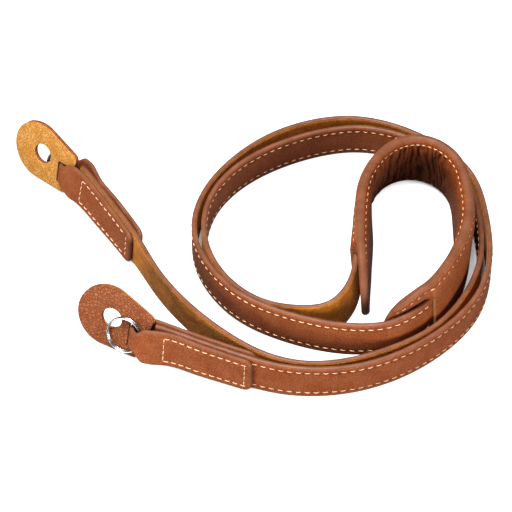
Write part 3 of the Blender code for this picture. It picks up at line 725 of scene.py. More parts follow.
def make_sewing_tree():
    """Puts one stitch on each point of a row, turned along its heading and facing off the leather."""
    tree = bpy.data.node_groups.new("sewn_row", "GeometryNodeTree")
    tree.interface.new_socket(name="Row", in_out="INPUT", socket_type="NodeSocketGeometry")
    for title, value in STITCH_SIZES.items():
        socket = tree.interface.new_socket(name=title, in_out="INPUT", socket_type="NodeSocketFloat")
        socket.default_value = value
    seed = tree.interface.new_socket(name="Seed", in_out="INPUT", socket_type="NodeSocketInt")
    seed.default_value = FIRST_SEED
    tree.interface.new_socket(name="Thread", in_out="INPUT", socket_type="NodeSocketMaterial")
    tree.interface.new_socket(name="Stitches", in_out="OUTPUT", socket_type="NodeSocketGeometry")
    given = tree.nodes.new("NodeGroupInput")
    out = tree.nodes.new("NodeGroupOutput")
    half = calc(tree, "MULTIPLY", given.outputs["Stitch Length"], 0.5)
    below = calc(tree, "MULTIPLY", given.outputs["Sink"], -1.0)
    above = calc(tree, "ADD", calc(tree, "MULTIPLY", given.outputs["Rise"], 2.0), given.outputs["Sink"])
    start = node(tree, "ShaderNodeCombineXYZ", {"X": calc(tree, "MULTIPLY", half, -1.0), "Z": below})
    middle = node(tree, "ShaderNodeCombineXYZ", {"Z": above})
    end = node(tree, "ShaderNodeCombineXYZ", {"X": half, "Z": below})
    bow = node(tree, "GeometryNodeCurveQuadraticBezier",
               {"Resolution": BOW_STEPS, "Start": start.outputs[0], "Middle": middle.outputs[0],
                "End": end.outputs[0]})
    wide = calc(tree, "MULTIPLY", given.outputs["Thread Thickness"], 0.5)
    thread_round = node(tree, "GeometryNodeCurvePrimitiveCircle",
                        {"Resolution": THREAD_SIDES, "Radius": wide})
    stitch = node(tree, "GeometryNodeCurveToMesh",
                  {"Curve": bow.outputs[0], "Profile Curve": thread_round.outputs[0], "Fill Caps": True})
    facing = node(tree, "GeometryNodeInputNamedAttribute", {"Name": "facing"}, data_type="FLOAT_VECTOR")
    heading = node(tree, "GeometryNodeInputNamedAttribute", {"Name": "heading"}, data_type="FLOAT_VECTOR")
    turned = node(tree, "FunctionNodeAxesToRotation",
                  {"Primary Axis": facing.outputs[0], "Secondary Axis": heading.outputs[0]},
                  primary_axis="Z", secondary_axis="X")
    lean = node(tree, "FunctionNodeRandomValue", data_type="FLOAT")
    tree.links.new(calc(tree, "MULTIPLY", given.outputs["Unevenness"], -1.0), lean.inputs[2])
    tree.links.new(given.outputs["Unevenness"], lean.inputs[3])
    tree.links.new(given.outputs["Seed"], lean.inputs["Seed"])
    skew = node(tree, "ShaderNodeCombineXYZ", {"Z": lean.outputs[1]})
    skewed = node(tree, "FunctionNodeEulerToRotation", {0: skew.outputs[0]})
    rotation = node(tree, "FunctionNodeRotateRotation",
                    {"Rotation": turned.outputs[0], "Rotate By": skewed.outputs[0]}, rotation_space="LOCAL")
    sewn = node(tree, "GeometryNodeInstanceOnPoints",
                {"Points": given.outputs["Row"], "Instance": stitch.outputs[0],
                 "Rotation": rotation.outputs[0]})
    real = node(tree, "GeometryNodeRealizeInstances", {0: sewn.outputs[0]})
    smooth = node(tree, "GeometryNodeSetShadeSmooth", {0: real.outputs[0]})
    finished = node(tree, "GeometryNodeSetMaterial",
                    {"Geometry": smooth.outputs[0], "Material": given.outputs["Thread"]})
    tree.links.new(finished.outputs[0], out.inputs[0])
    return tree


SEWING = make_sewing_tree()
SEWING_INPUTS = {item.name: item.identifier for item in SEWING.interface.items_tree
                 if item.in_out == "INPUT"}


def finished_mesh(thing):
    """The plain mesh of an object with its modifiers, or of a curve."""
    graph = bpy.context.evaluated_depsgraph_get()
    return bpy.data.meshes.new_from_object(thing.evaluated_get(graph))


def sew(name, spots, seed):
    """Stitches on spots, each a point, its heading along the row and the way that it faces."""
    row = bpy.data.meshes.new(name)
    row.from_pydata([spot for spot, _, _ in spots], [], [])
    for title, column in (("heading", 1), ("facing", 2)):
        layer = row.attributes.new(title, "FLOAT_VECTOR", "POINT")
        layer.data.foreach_set("vector", np.array([spot[column] for spot in spots], float).ravel())
    holder = add_object(name, row)
    maker = holder.modifiers.new("sewing", "NODES")
    maker.node_group = SEWING
    for title, value in {**STITCH_SIZES, "Seed": seed, "Thread": THREAD}.items():
        maker[SEWING_INPUTS[title]] = value
    made = finished_mesh(holder)
    holder.modifiers.remove(maker)
    holder.data = made
    made.name = name
    bpy.data.meshes.remove(row)
    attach(holder, "root")


def spot_beside(line, distance, across, out):
    """A stitch's spot beside a line, heading along it and facing out of the band."""
    point, ahead, upward, outward = section(line, distance)
    return (point + upward * across + outward * out) * MM, ahead, outward


FIRST_SLIT = 532.5
LAST_SLIT = 698.7
UNDER_THE_PAD = 3.0
LOOP_REACH = 54.0
UNDER_THE_LOOP = 2.0
AHEAD = 0.5
THREAD_LEVEL = 0.96
strap_spots = []
for index in range(int(strap_line.length / STITCH_PITCH)):
    distance = index * STITCH_PITCH
    from_end = min(distance, strap_line.length - distance)
    in_pad = FIRST_SLIT + UNDER_THE_PAD < distance < LAST_SLIT - UNDER_THE_PAD
    if from_end >= LOOP_REACH - UNDER_THE_LOOP and not in_pad:
        for across in (-STITCH_ROW, STITCH_ROW):
            strap_spots.append(spot_beside(strap_line, distance, across, THREAD_LEVEL))
sew("strap_stitches", strap_spots, seed=3)

# The neck pad
# Two leathers sewn together all round: a smooth face with a slit near each end, through which the strap
# passes, and a softly padded back that lies on the neck and gathers where the pad bends.
PAD_HALF = 16.0
PAD_WALL = 1.3
PAD_BACK_WALL = 1.17
PAD_POCKET = 8.7
PAD_POCKET_END = 10.2
PAD_FIRST_REACH = 20.1
PAD_LAST_REACH = 19.3
PAD_HEM = 2.5
PAD_EDGE_ROUND = 1.3
PAD_EDGE_CURVE = 1.6
PAD_PARTING = 0.02
PAD_COAT = 0.45
PAD_COAT_FADE = 0.4
CHANNEL_HALF = 0.45
FACE_CHANNEL = 0.16
BACK_CHANNEL = 0.22
SLIT_LENGTH = 3.2
PAD_CUT = (-6.0, 7.0)
PAD_FOLLOWS_FROM = 24.0
PAD_FOLLOWS_TO = 1.0
PAD_FOLLOWS_STEP = 9.0
PAD_FIRST_TIP = [
    Station(41.9, -40.3, 8.2, 4),
    Station(41.6, -30.0, 8.2, 4.3),
    Station(41.5, -19.0, 8.2, 5),
    Station(41.7, -9.0, 8.2, 5.6),
]
PAD_LAST_TIP = [
    Station(62.0, -46.6, 8.2, -5),
    Station(56.9, -49.4, 8.1, -5),
    Station(48.4, -51.0, 8.0, -5),
]
# How far out the two leathers lie from the pad's parting line, at distances from the two slits.
PadRow = namedtuple("PadRow", "slit offset face_inside back_outside back_inside edge_face edge_back")
PAD_ROWS = [
    PadRow("first", -PAD_FIRST_REACH, 0.15, -0.15, -1.4, 1.2, -1.4),
    PadRow("first", -12.0, 0.15, -0.15, -2.0, 1.4, -1.55),
    PadRow("first", -6.0, -0.5, -0.9, -2.4, 1.4, -1.55),
    PadRow("first", -SLIT_LENGTH / 2, -1.1, -1.5, -2.8, 1.4, -1.55),
    PadRow("first", SLIT_LENGTH / 2, 3.1, -0.7, -3.0, 1.4, -1.55),
    PadRow("first", 12.0, 2.1, -1.1, -3.4, 1.4, -1.55),
    PadRow("first", 26.0, 1.5, -1.6, -3.7, 1.4, -1.55),
    PadRow("last", -16.0, 1.5, -1.6, -3.7, 1.4, -1.55),
    PadRow("last", -SLIT_LENGTH / 2, 1.6, -2.2, -3.9, 1.4, -1.55),
    PadRow("last", SLIT_LENGTH / 2, -2.9, -3.3, -4.6, 1.4, -1.55),
    PadRow("last", 6.0, -2.1, -2.5, -4.0, 1.4, -1.55),
    PadRow("last", 12.0, -1.3, -1.7, -3.2, 1.3, -1.5),
    PadRow("last", PAD_LAST_REACH, -0.3, -0.6, -1.9, 1.2, -1.4),
]

follow = np.arange(FIRST_SLIT + PAD_FOLLOWS_FROM, LAST_SLIT - PAD_FOLLOWS_TO, PAD_FOLLOWS_STEP)
pad_line = Line(PAD_FIRST_TIP + [tuple(strap_line.at(distance)) for distance in follow] + PAD_LAST_TIP)
pad_first = PAD_FIRST_REACH
pad_last = pad_line.length - PAD_LAST_REACH
row_places = [{"first": pad_first, "last": pad_last}[row.slit] + row.offset for row in PAD_ROWS]


def smooth_step(value):
    """A smooth rise from 0 to 1 of a value that goes from 0 to 1."""
    value = min(max(value, 0.0), 1.0)
    return value * value * (3 - 2 * value)


def pad_half_width(distance):
    """Half the pad's width: straight in the middle, with half an ellipse at each end."""
    if distance < pad_first:
        return PAD_HALF * math.sqrt(max(1 - ((pad_first - distance) / PAD_FIRST_REACH) ** 2, 0.0))
    if distance > pad_last:
        return PAD_HALF * math.sqrt(max(1 - ((distance - pad_last) / PAD_LAST_REACH) ** 2, 0.0))
    return PAD_HALF


def from_pad_edge(distance, across):
    """How far a point of the pad lies in from its outline."""
    reach = PAD_FIRST_REACH if distance < pad_first else PAD_LAST_REACH
    past = max(pad_first - distance, distance - pad_last, 0.0)
    level = math.hypot(past / reach, across / PAD_HALF)
    if level < 1e-6:
        return PAD_HALF
    slope = math.hypot(past / reach ** 2, across / PAD_HALF ** 2) / level
    return max(1 - level, 0.0) / slope


def round_rise(border, radius):
    """How far a round edge has risen at a distance in from the border, from 0 to 1."""
    return math.sqrt(max(1 - (1 - min(border / radius, 1.0)) ** 2, 0.0))


PadLevels = namedtuple("PadLevels", "face_inside face_outside back_outside back_inside")


def pad_levels(distance, across):
    """How far out the face's two sides and the back's two sides lie at a point of the pad."""
    row = {name: np.interp(distance, row_places, [getattr(r, name) for r in PAD_ROWS])
           for name in PadRow._fields[2:]}
    height = abs(across)
    pocket = smooth_step((height - PAD_POCKET) / (PAD_POCKET_END - PAD_POCKET))
    edge = max((height - PAD_POCKET) / (PAD_HALF - PAD_POCKET), 0.0) ** PAD_EDGE_CURVE
    face_inside = row["face_inside"] * (1 - pocket) + PAD_PARTING * pocket
    back_outside = row["back_outside"] * (1 - pocket) - PAD_PARTING * pocket
    face_crown = row["face_inside"] + PAD_WALL
    face_crown += (row["edge_face"] - face_crown) * edge
    back_crown = row["back_inside"] + (row["edge_back"] - row["back_inside"]) * edge
    face_outside = max(face_inside + PAD_WALL, face_crown)
    back_inside = min(back_outside - PAD_BACK_WALL, back_crown)
    border = from_pad_edge(distance, across)
    rounding = round_rise(border, PAD_EDGE_ROUND)
    channel = math.exp(-((border - PAD_HEM) / CHANNEL_HALF) ** 2)
    face_outside = face_outside * rounding - FACE_CHANNEL * channel
    back_inside = back_inside * rounding + BACK_CHANNEL * channel
    hem = smooth_step(border / PAD_EDGE_ROUND)
    face_inside = min(face_inside * hem, face_outside - PAD_PARTING)
    back_outside = max(back_outside * hem, back_inside + PAD_PARTING)
    return PadLevels(face_inside, face_outside, back_outside, back_inside)


# The leathers' columns, as distances in from the edge at the pad's full width. Their hidden side is laid
# out on the flat hide past the side that shows.
HIDDEN_SIDE_AT = 2.5
HIDE_AROUND = 4
EDGE_COLUMNS = [0.0, 0.06, 0.2, 0.45, 0.8, 1.2, 1.6, 2.0, 2.3, 2.6, 2.8, 3.0, 3.2, 3.4, 3.7, 4.1, 4.7]
MIDDLE_COLUMNS = list(np.linspace(5.4, PAD_HALF, 15))
PAD_OUTLINE_STEPS = 60
PAD_END_TURNS = (5, 8, 12, 16, 21, 26, 32, 38, 45, 52, 60, 68, 76, 84)


def pad_rows(step):
    """Distances along the pad, closer together towards its round ends."""
    turns = [math.radians(turn) for turn in PAD_END_TURNS]
    rows = [pad_first - PAD_FIRST_REACH * math.cos(turn) for turn in turns]
    rows += list(np.arange(pad_first, pad_last, step))
    rows += [pad_last + PAD_LAST_REACH * math.cos(turn) for turn in reversed(turns)]
    return rows


def pad_columns(distance):
    """Across places from one edge of the pad to the other."""
    share = pad_half_width(distance) / PAD_HALF
    upper = [(PAD_HALF - inset) * share for inset in EDGE_COLUMNS + MIDDLE_COLUMNS]
    return [-u for u in upper[:-1]] + upper[::-1]


def pad_skin(name, step, inner_level, outer_level, relief=None):
    """One of the pad's leathers, between two of its levels, closed all round. Each point is marked with
    its share of edge paint, and with how deep in a fold it lies, in millimetres."""
    rings = []
    flat = []
    painted = []
    folded = []
    for distance in pad_rows(step):
        point, _, upward, outward = section(pad_line, distance)
        columns = pad_columns(distance)
        ring = []
        marks = []
        folds = []
        for across in columns:
            folds.append(relief(distance, across) if relief is not None else 0.0)
            out = getattr(pad_levels(distance, across), outer_level) + folds[-1]
            ring.append((point + upward * across + outward * out) * MM)
            marks.append(1.0 - smooth_step((from_pad_edge(distance, across) - PAD_COAT) / PAD_COAT_FADE))
        hidden_columns = columns[2:-2:3][::-1]
        for across in hidden_columns:
            out = getattr(pad_levels(distance, across), inner_level)
            ring.append((point + upward * across + outward * out) * MM)
            marks.append(0.0)
            folds.append(0.0)
        rings.append(ring)
        painted.append(marks)
        folded.append(folds)
        across_flat = columns + [HIDDEN_SIDE_AT * PAD_HALF - u for u in hidden_columns]
        across_flat.append(HIDE_AROUND * PAD_HALF)
        flat.append([(distance, v) for v in across_flat])
    return skin(name, rings, flat, {"painted": painted, "fold": folded})


def cutter_box(name, corners, material):
    """A box through eight corners that cuts, and gives the cut faces its material."""
    mesh = bpy.data.meshes.new(name)
    shape = bmesh.new()
    bmesh.ops.create_cube(shape, size=2.0)
    for vert in shape.verts:
        index = (vert.co.x > 0) + 2 * (vert.co.y > 0) + 4 * (vert.co.z > 0)
        vert.co = corners[index]
    turn_outwards(shape)
    shape.to_mesh(mesh)
    shape.free()
    mesh.materials.append(material)
    return add_object(name, mesh)


def cut_through(thing, cutters):
    """Cuts the boxes out of a piece, keeps the result as its plain mesh and removes the boxes."""
    for cutter in cutters:
        boolean = thing.modifiers.new(cutter.name, "BOOLEAN")
        boolean.operation = "DIFFERENCE"
        boolean.solver = "EXACT"
        boolean.material_mode = "TRANSFER"
        boolean.object = cutter
    made = finished_mesh(thing)
    thing.modifiers.clear()
    thing.data = made
    for cutter in cutters:
        bpy.data.objects.remove(cutter, do_unlink=True)


def box_on_line(line, along, across, out):
    """The eight corners of a box given by its ranges along, across and out from a line."""
    return [place(line, along[i], across[j], out[k]) for k in (0, 1) for j in (0, 1) for i in (0, 1)]


RAW_DARK = (0.24, 0.09, 0.025, 1.0)
RAW_MAIN = (0.50, 0.22, 0.07, 1.0)
RAW_LIGHT = (0.62, 0.30, 0.11, 1.0)
RAW_EDGE = suede("raw_cut_edge", RAW_DARK, RAW_MAIN, RAW_LIGHT)
pad_face = pad_skin("pad_smooth_face", 0.9, "face_inside", "face_outside")
pad_face.data.materials.append(
    leather("pad_leather", LEATHER_DARK, LEATHER_MAIN, LEATHER_LIGHT, pebble=1.1, painted=True))
slits = []
for title, at in (("first_slit", pad_first), ("last_slit", pad_last)):
    along = (at - SLIT_LENGTH / 2, at + SLIT_LENGTH / 2)
    corners = box_on_line(pad_line, along, (-PAD_POCKET, PAD_POCKET), PAD_CUT)
    slits.append(cutter_box(title, corners, RAW_EDGE))
cut_through(pad_face, slits)
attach(pad_face, "root")
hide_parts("pad_face")

# The pad's back
# Soft leather over foam. It was sewn flat, so where the pad bends it is too long and gathers into
# upright pleats between the two rows of stitches. Past the bend they fade out.
PLEAT_DEPTH = 1.7
PLEAT_SPACING = 3.3
BROAD_SPACING = 1.63
FINE_SHARE = 0.62
PLEATS_FROM_BEND = 0.008
PLEATS_BEND_RANGE = 0.03
PLEATS_FROM_HEM = 1.6
PLEATS_TO = 84.0
PLEATS_FADE = 14.0
PLEATS_LOST = 0.95
BACK_DARK = (0.040, 0.007, 0.002, 1.0)
BACK_MAIN = (0.215, 0.046, 0.009, 1.0)
BACK_LIGHT = (0.33, 0.085, 0.018, 1.0)


def pleats(distance, across):
    """Gathers that start at the stitches, wander and merge, and are deepest at the tight bend. Fine ones
    and broader ones lie over each other, and slow waves shift both, so that no two are alike."""
    squeeze = smooth_step((abs(pad_line.turn(distance)) - PLEATS_FROM_BEND) / PLEATS_BEND_RANGE)
    squeeze *= 1.0 - PLEATS_LOST * smooth_step((distance - pad_first - PLEATS_TO) / PLEATS_FADE)
    between = smooth_step((from_pad_edge(distance, across) - PAD_HEM) / PLEATS_FROM_HEM)
    wander = 0.32 * math.sin(0.31 * across + 0.9 * math.sin(0.23 * distance))
    wander += 0.16 * math.sin(0.83 * across + 0.61 * distance)
    phase = distance / PLEAT_SPACING + 0.45 * math.sin(0.37 * distance) + wander * 0.45
    second = distance / (BROAD_SPACING * PLEAT_SPACING) - 0.4 * math.sin(0.29 * distance + 0.2 * across)
    fine = 1 - abs(math.sin(math.pi * phase)) ** 0.7
    broad = 1 - abs(math.sin(math.pi * second)) ** 0.8
    return PLEAT_DEPTH * squeeze * between * (FINE_SHARE * fine + (1 - FINE_SHARE) * broad)


pad_back = pad_skin("pad_padded_back", 0.55, "back_outside", "back_inside", relief=pleats)
# Its material has painted shade at the bottom of the gathers.
pad_back.data.materials.append(
    leather("pad_back_leather", BACK_DARK, BACK_MAIN, BACK_LIGHT, pebble=1.0, depth=0.06, painted=True,
            gathered=True))
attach(pad_back, "root")
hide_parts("pad_back")


def pad_outline(inset):
    """Points round the pad at a distance in from its edge, as places along and across."""
    points = []
    for end, reach, side in ((pad_last, PAD_LAST_REACH, 1), (pad_first, PAD_FIRST_REACH, -1)):
        for turn in np.linspace(0, math.pi, PAD_OUTLINE_STEPS):
            along = end + side * (reach - inset) * math.sin(turn)
            points.append((along, side * (PAD_HALF - inset) * math.cos(turn)))
    return points + points[:1]


def even_spots(points, pitch):
    """Places an even pitch apart along a run of points, each with a place half a millimetre ahead."""
    points = np.array(points, float)
    steps = np.linalg.norm(np.diff(points, axis=0), axis=1)
    knots = np.concatenate([[0.0], np.cumsum(steps)])
    count = int(round(knots[-1] / pitch))
    found = []
    for k in range(count):
        here = knots[-1] * (k + 0.5) / count
        found.append([[np.interp(d, knots, points[:, 0]), np.interp(d, knots, points[:, 1])]
                      for d in (here, here + AHEAD)])
    return found


pad_spots = []
for level, seat, side in (("face_outside", -0.2, 1), ("back_inside", 0.1, -1)):
    for places in even_spots(pad_outline(PAD_HEM), STITCH_PITCH):
        spot, after = (Vector(place(pad_line, *at, getattr(pad_levels(*at), level) + seat)) for at in places)
        facing = section(pad_line, places[0][0])[3] * side
        pad_spots.append((spot, (after - spot).normalized(), facing))
sew("pad_stitches", pad_spots, seed=5)

# The end loops
# A strip of the same leather at each end, folded round the guard's tongue, laid over both sides of the
# strap and sewn down in a long rectangle. Its edges are painted too.
LOOP_HALF_THICKNESS = 0.9
LOOP_NECK_WIDTH = 8.8
LOOP_CORNER = 3.5
LOOP_SEAM_NEAR = 15.4
LOOP_SEAM_FAR = 51.0
LOOP_SEAM_END_STITCHES = 4
LOOP_CHANNEL = 0.14
LOOP_COAT = 0.35
LOOP_COAT_FADE = 0.5
LOOP_STITCH_SINK = 0.08
LOOP_STEPS = 190
LOOP_SEARCH_STEPS = 400
NO_SEAM = 9.0
LoopRow = namedtuple("LoopRow", "reach out width")
LOOP_ROWS = [
    LoopRow(LOOP_REACH, 2.35, 16.0),
    LoopRow(40.0, 2.35, 16.0),
    LoopRow(28.0, 2.35, 16.0),
    LoopRow(18.0, 2.45, 16.0),
    LoopRow(12.0, 4.0, 16.0),
    LoopRow(8.0, 5.0, 15.2),
    LoopRow(6.4, 5.1, 14.2),
    LoopRow(4.8, 5.0, 10.6),
    LoopRow(2.8, 4.2, LOOP_NECK_WIDTH),
    LoopRow(1.0, 2.2, LOOP_NECK_WIDTH),
    LoopRow(0.0, 0.0, LOOP_NECK_WIDTH),
    LoopRow(1.2, -2.0, LOOP_NECK_WIDTH),
    LoopRow(4.0, -3.0, 11.4),
    LoopRow(8.0, -3.2, 15.4),
    LoopRow(12.0, -2.9, 15.8),
    LoopRow(18.0, -2.4, 16.0),
    LoopRow(28.0, -2.35, 16.0),
    LoopRow(40.0, -2.35, 16.0),
    LoopRow(LOOP_REACH, -2.35, 16.0),
]
loop_line = Line(LOOP_ROWS)


def loop_half_width(reach, width):
    """Half the strip's width, no more than the strap's, less its round corners at the flaps' ends."""
    width = min(width, 2 * STRAP_HALF)
    from_end = LOOP_REACH - reach
    if from_end >= LOOP_CORNER:
        return width / 2
    lost = LOOP_CORNER - math.sqrt(max(LOOP_CORNER ** 2 - (LOOP_CORNER - from_end) ** 2, 0.0))
    return width / 2 - lost


def loop_section(along):
    """The strip's own section at a distance along it: its middle, half its width, and its outer side."""
    reach, out, width = loop_line.at(along)
    ahead = loop_line.at(along + HEADING_REACH)[:2] - loop_line.at(along - HEADING_REACH)[:2]
    ahead /= np.linalg.norm(ahead)
    return reach, out, loop_half_width(reach, width), (-ahead[1], ahead[0])


def loop_point(to_line, along, across, off):
    """A point of the strip: along it, across it, and off its middle towards its outer side."""
    reach, out, _, outward = loop_section(along)
    return Vector(place(strap_line, to_line(reach - outward[0] * off), across, out - outward[1] * off))


def seam_channel(along, across):
    """How close a point is to the stitched rectangle of its flap, from 0 to 1."""
    reach = loop_line.at(along)[0]
    if reach < LOOP_SEAM_NEAR - 1.5:
        return 0.0
    beside = abs(abs(across) - STITCH_ROW)
    ends = min(abs(reach - LOOP_SEAM_NEAR), abs(reach - LOOP_SEAM_FAR))
    if abs(across) > STITCH_ROW + 0.5:
        ends = NO_SEAM
    if reach < LOOP_SEAM_NEAR or reach > LOOP_SEAM_FAR:
        beside = NO_SEAM
    return math.exp(-(min(beside, ends) / CHANNEL_HALF) ** 2)


LOOP_COLUMNS = [0.0, 0.06, 0.18, 0.36, 0.6, 0.9, 1.25, 1.6, 1.85, 2.1, 2.35, 2.6, 2.95]
LOOP_MIDDLE = [3.6, 4.4, 5.3, 6.2, 7.1, 8.0]
LOOP_ENDS = [0.02, 0.1, 0.25, 0.5, 0.8, 1.2, 1.6]


def make_loop(letter, to_line):
    """One end's strip and its stitches; to_line turns a reach from the fold into a place on the strap."""
    distances = LOOP_ENDS + list(np.linspace(2.0, loop_line.length - 2.0, LOOP_STEPS))
    distances += [loop_line.length - d for d in reversed(LOOP_ENDS)]
    rings = []
    flat = []
    painted = []
    for along in distances:
        half = loop_section(along)[2]
        share = half / STRAP_HALF
        upper = [(STRAP_HALF - inset) * share for inset in LOOP_COLUMNS + LOOP_MIDDLE]
        columns = [-u for u in upper[:-1]] + upper[::-1]
        from_end = min(along, loop_line.length - along)
        ring = []
        marks = []
        for side in (1, -1):
            for across in columns[::side]:
                border = min(half - abs(across), from_end)
                off = LOOP_HALF_THICKNESS * round_rise(border, EDGE_ROUND) * side
                if side > 0:
                    off -= LOOP_CHANNEL * seam_channel(along, across)
                ring.append(loop_point(to_line, along, across, off))
                marks.append(1.0 - smooth_step((border - LOOP_COAT) / LOOP_COAT_FADE))
        rings.append(ring)
        painted.append(marks)
        across_flat = columns + [HIDDEN_SIDE_AT * STRAP_HALF - u for u in columns[::-1]]
        across_flat.append(HIDE_AROUND * STRAP_HALF)
        flat.append([(along, v) for v in across_flat])
    loop = skin("loop_" + letter + "_leather", rings, flat, {"painted": painted})
    loop.data.materials.append(LOOP_LEATHER)
    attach(loop, "root")
    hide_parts("end_loop_" + letter)

    rows = []
    for index in range(1, int(loop_line.length / STITCH_PITCH)):
        along = index * STITCH_PITCH
        if LOOP_SEAM_NEAR < loop_line.at(along)[0] < LOOP_SEAM_FAR:
            rows += [((along, across), (along + AHEAD, across)) for across in (-STITCH_ROW, STITCH_ROW)]
    for reach in (LOOP_SEAM_NEAR, LOOP_SEAM_FAR):
        for flap_end in (0.0, loop_line.length):
            span = np.linspace(flap_end, loop_line.length / 2, LOOP_SEARCH_STEPS)
            along = float(np.interp(-reach, [-loop_line.at(d)[0] for d in span], span))
            for k in range(LOOP_SEAM_END_STITCHES):
                across = STITCH_ROW * ((2 * k + 1) / LOOP_SEAM_END_STITCHES - 1)
                rows.append(((along, across), (along, across + AHEAD)))
    spots = []
    for here, ahead in rows:
        spot = loop_point(to_line, *here, LOOP_HALF_THICKNESS - LOOP_STITCH_SINK)
        after = loop_point(to_line, *ahead, LOOP_HALF_THICKNESS - LOOP_STITCH_SINK)
        above = loop_point(to_line, *here, LOOP_HALF_THICKNESS + 1.0)
        spots.append((spot, (after - spot).normalized(), (above - spot).normalized()))
    sew("loop_" + letter + "_stitches", spots, seed=7)


LOOP_LEATHER = leather("loop_leather", LEATHER_DARK, LEATHER_MAIN, LEATHER_LIGHT, pebble=1.1, painted=True)
# Both folds lie in from the strap's end, and the sewing has drawn each loop up, end B's the most.
LOOP_FOLD = 2.2
LOOP_A_DRAWN = (LOOP_REACH - 1.6) / LOOP_REACH
LOOP_B_DRAWN = (LOOP_REACH - 3.4) / LOOP_REACH
FROM_FOLD = {"a": lambda reach: LOOP_FOLD + reach * LOOP_A_DRAWN,
             "b": lambda reach: strap_line.length - LOOP_FOLD - reach * LOOP_B_DRAWN}
for letter, to_line in FROM_FOLD.items():
    make_loop(letter, to_line)

# The guards
# A tear-shaped plate at each end that keeps the ring off the camera: pebbled leather on the side of
# the ring, golden suede on the other, with a punched hole and a slit for the loop's tongue.
GUARD_THICKNESS = 2.0
GUARD_LEATHER = 1.15
GUARD_ROUND_RADIUS = 12.85
GUARD_ROUND_BACK = 1.8
GUARD_LENGTH = 15.7
GUARD_END_HALF = 10.2
GUARD_CORNER = 2.5
GUARD_HOLE_RADIUS = 4.2
GUARD_SLIT = 4.0
GUARD_SLIT_MARGIN = 0.4
GUARD_SLIT_HALF = LOOP_NECK_WIDTH / 2 + 0.5
GUARD_CUT = (-5.0, 6.0)
GUARD_BEVEL = 0.28
GUARD_FLAT = 0.5
GUARD_OUTLINE_STEPS = 140
GUARD_HOLE_STEPS = 72
GUARD_SHARP_ANGLE = math.radians(40)
MERGED_WITHIN = 1e-6
Guard = namedtuple("Guard", "letter hole azimuth lean roll ring ring_side")
GUARDS = [
    Guard("a", (-85.9, 44.5, 12.6), -38.7, 15.9, -10.4, (8.7, -2.4), -1),
    Guard("b", (-55.2, -42.3, 12.6), -25.0, 23.0, -13.9, (7.6, -2.5), 1),
]
GUARD_DARK = (0.09, 0.019, 0.006, 1.0)
GUARD_MAIN = (0.255, 0.072, 0.022, 1.0)
GUARD_LIGHT = (0.345, 0.112, 0.040, 1.0)
GOLD_DARK = (0.24, 0.072, 0.005, 1.0)
GOLD_MAIN = (0.54, 0.235, 0.036, 1.0)
GOLD_LIGHT = (0.72, 0.39, 0.110, 1.0)


def round_hull(circles, segments):
    """The outline round a few circles, given counterclockwise as centre x, centre y and radius."""
    points = []
    leaving = []
    for (x1, y1, r1), (x2, y2, r2) in zip(circles, circles[1:] + circles[:1]):
        span = math.hypot(x2 - x1, y2 - y1)
        leaving.append(math.atan2(y2 - y1, x2 - x1) - math.acos((r1 - r2) / span))
    for i, (x, y, radius) in enumerate(circles):
        start = leaving[i - 1]
        sweep = (leaving[i] - start) % (2 * math.pi)
        count = max(int(round(segments * sweep / (2 * math.pi))), 2)
        for k in range(count + 1):
            turn = start + sweep * k / count
            points.append((x + radius * math.cos(turn), y + radius * math.sin(turn)))
    return points


def guard_place(guard):
    """The plate's own frame: its first axis runs to the narrow end, its third out of the plate."""
    azimuth, lean, roll = (math.radians(a) for a in (guard.azimuth, guard.lean, guard.roll))
    level = Vector((math.cos(azimuth), math.sin(azimuth), 0.0))
    back = Vector((-math.sin(azimuth), math.cos(azimuth), 0.0))
    upward = back * math.sin(lean) + Vector((0.0, 0.0, math.cos(lean)))
    along = level * math.cos(roll) + upward * math.sin(roll)
    across = upward * math.cos(roll) - level * math.sin(roll)
    frame = Matrix((along, across, along.cross(across))).transposed().to_4x4()
    x, y, z = guard.hole
    frame.translation = Vector((x - LAYOUT_MIDDLE[0], y - LAYOUT_MIDDLE[1], z)) * MM
    return frame


def drawn_in(points, amount):
    """A closed outline moved inwards by an amount."""
    points = [Vector(point) for point in points]
    points = [p for i, p in enumerate(points) if (p - points[i - 1]).length > 1e-6]
    moved = []
    for i, point in enumerate(points):
        along = (points[(i + 1) % len(points)] - points[i - 1]).normalized()
        moved.append((point.x - along.y * amount, point.y + along.x * amount))
    return moved


def curve_to_shape(curve):
    """A curve's surface as a closed shape with its faces outwards, and the mesh that will hold it."""
    holder = add_object(curve.name, curve)
    mesh = finished_mesh(holder)
    bpy.data.objects.remove(holder, do_unlink=True)
    shape = bmesh.new()
    shape.from_mesh(mesh)
    bmesh.ops.remove_doubles(shape, verts=shape.verts, dist=MERGED_WITHIN)
    turn_outwards(shape)
    return shape, mesh


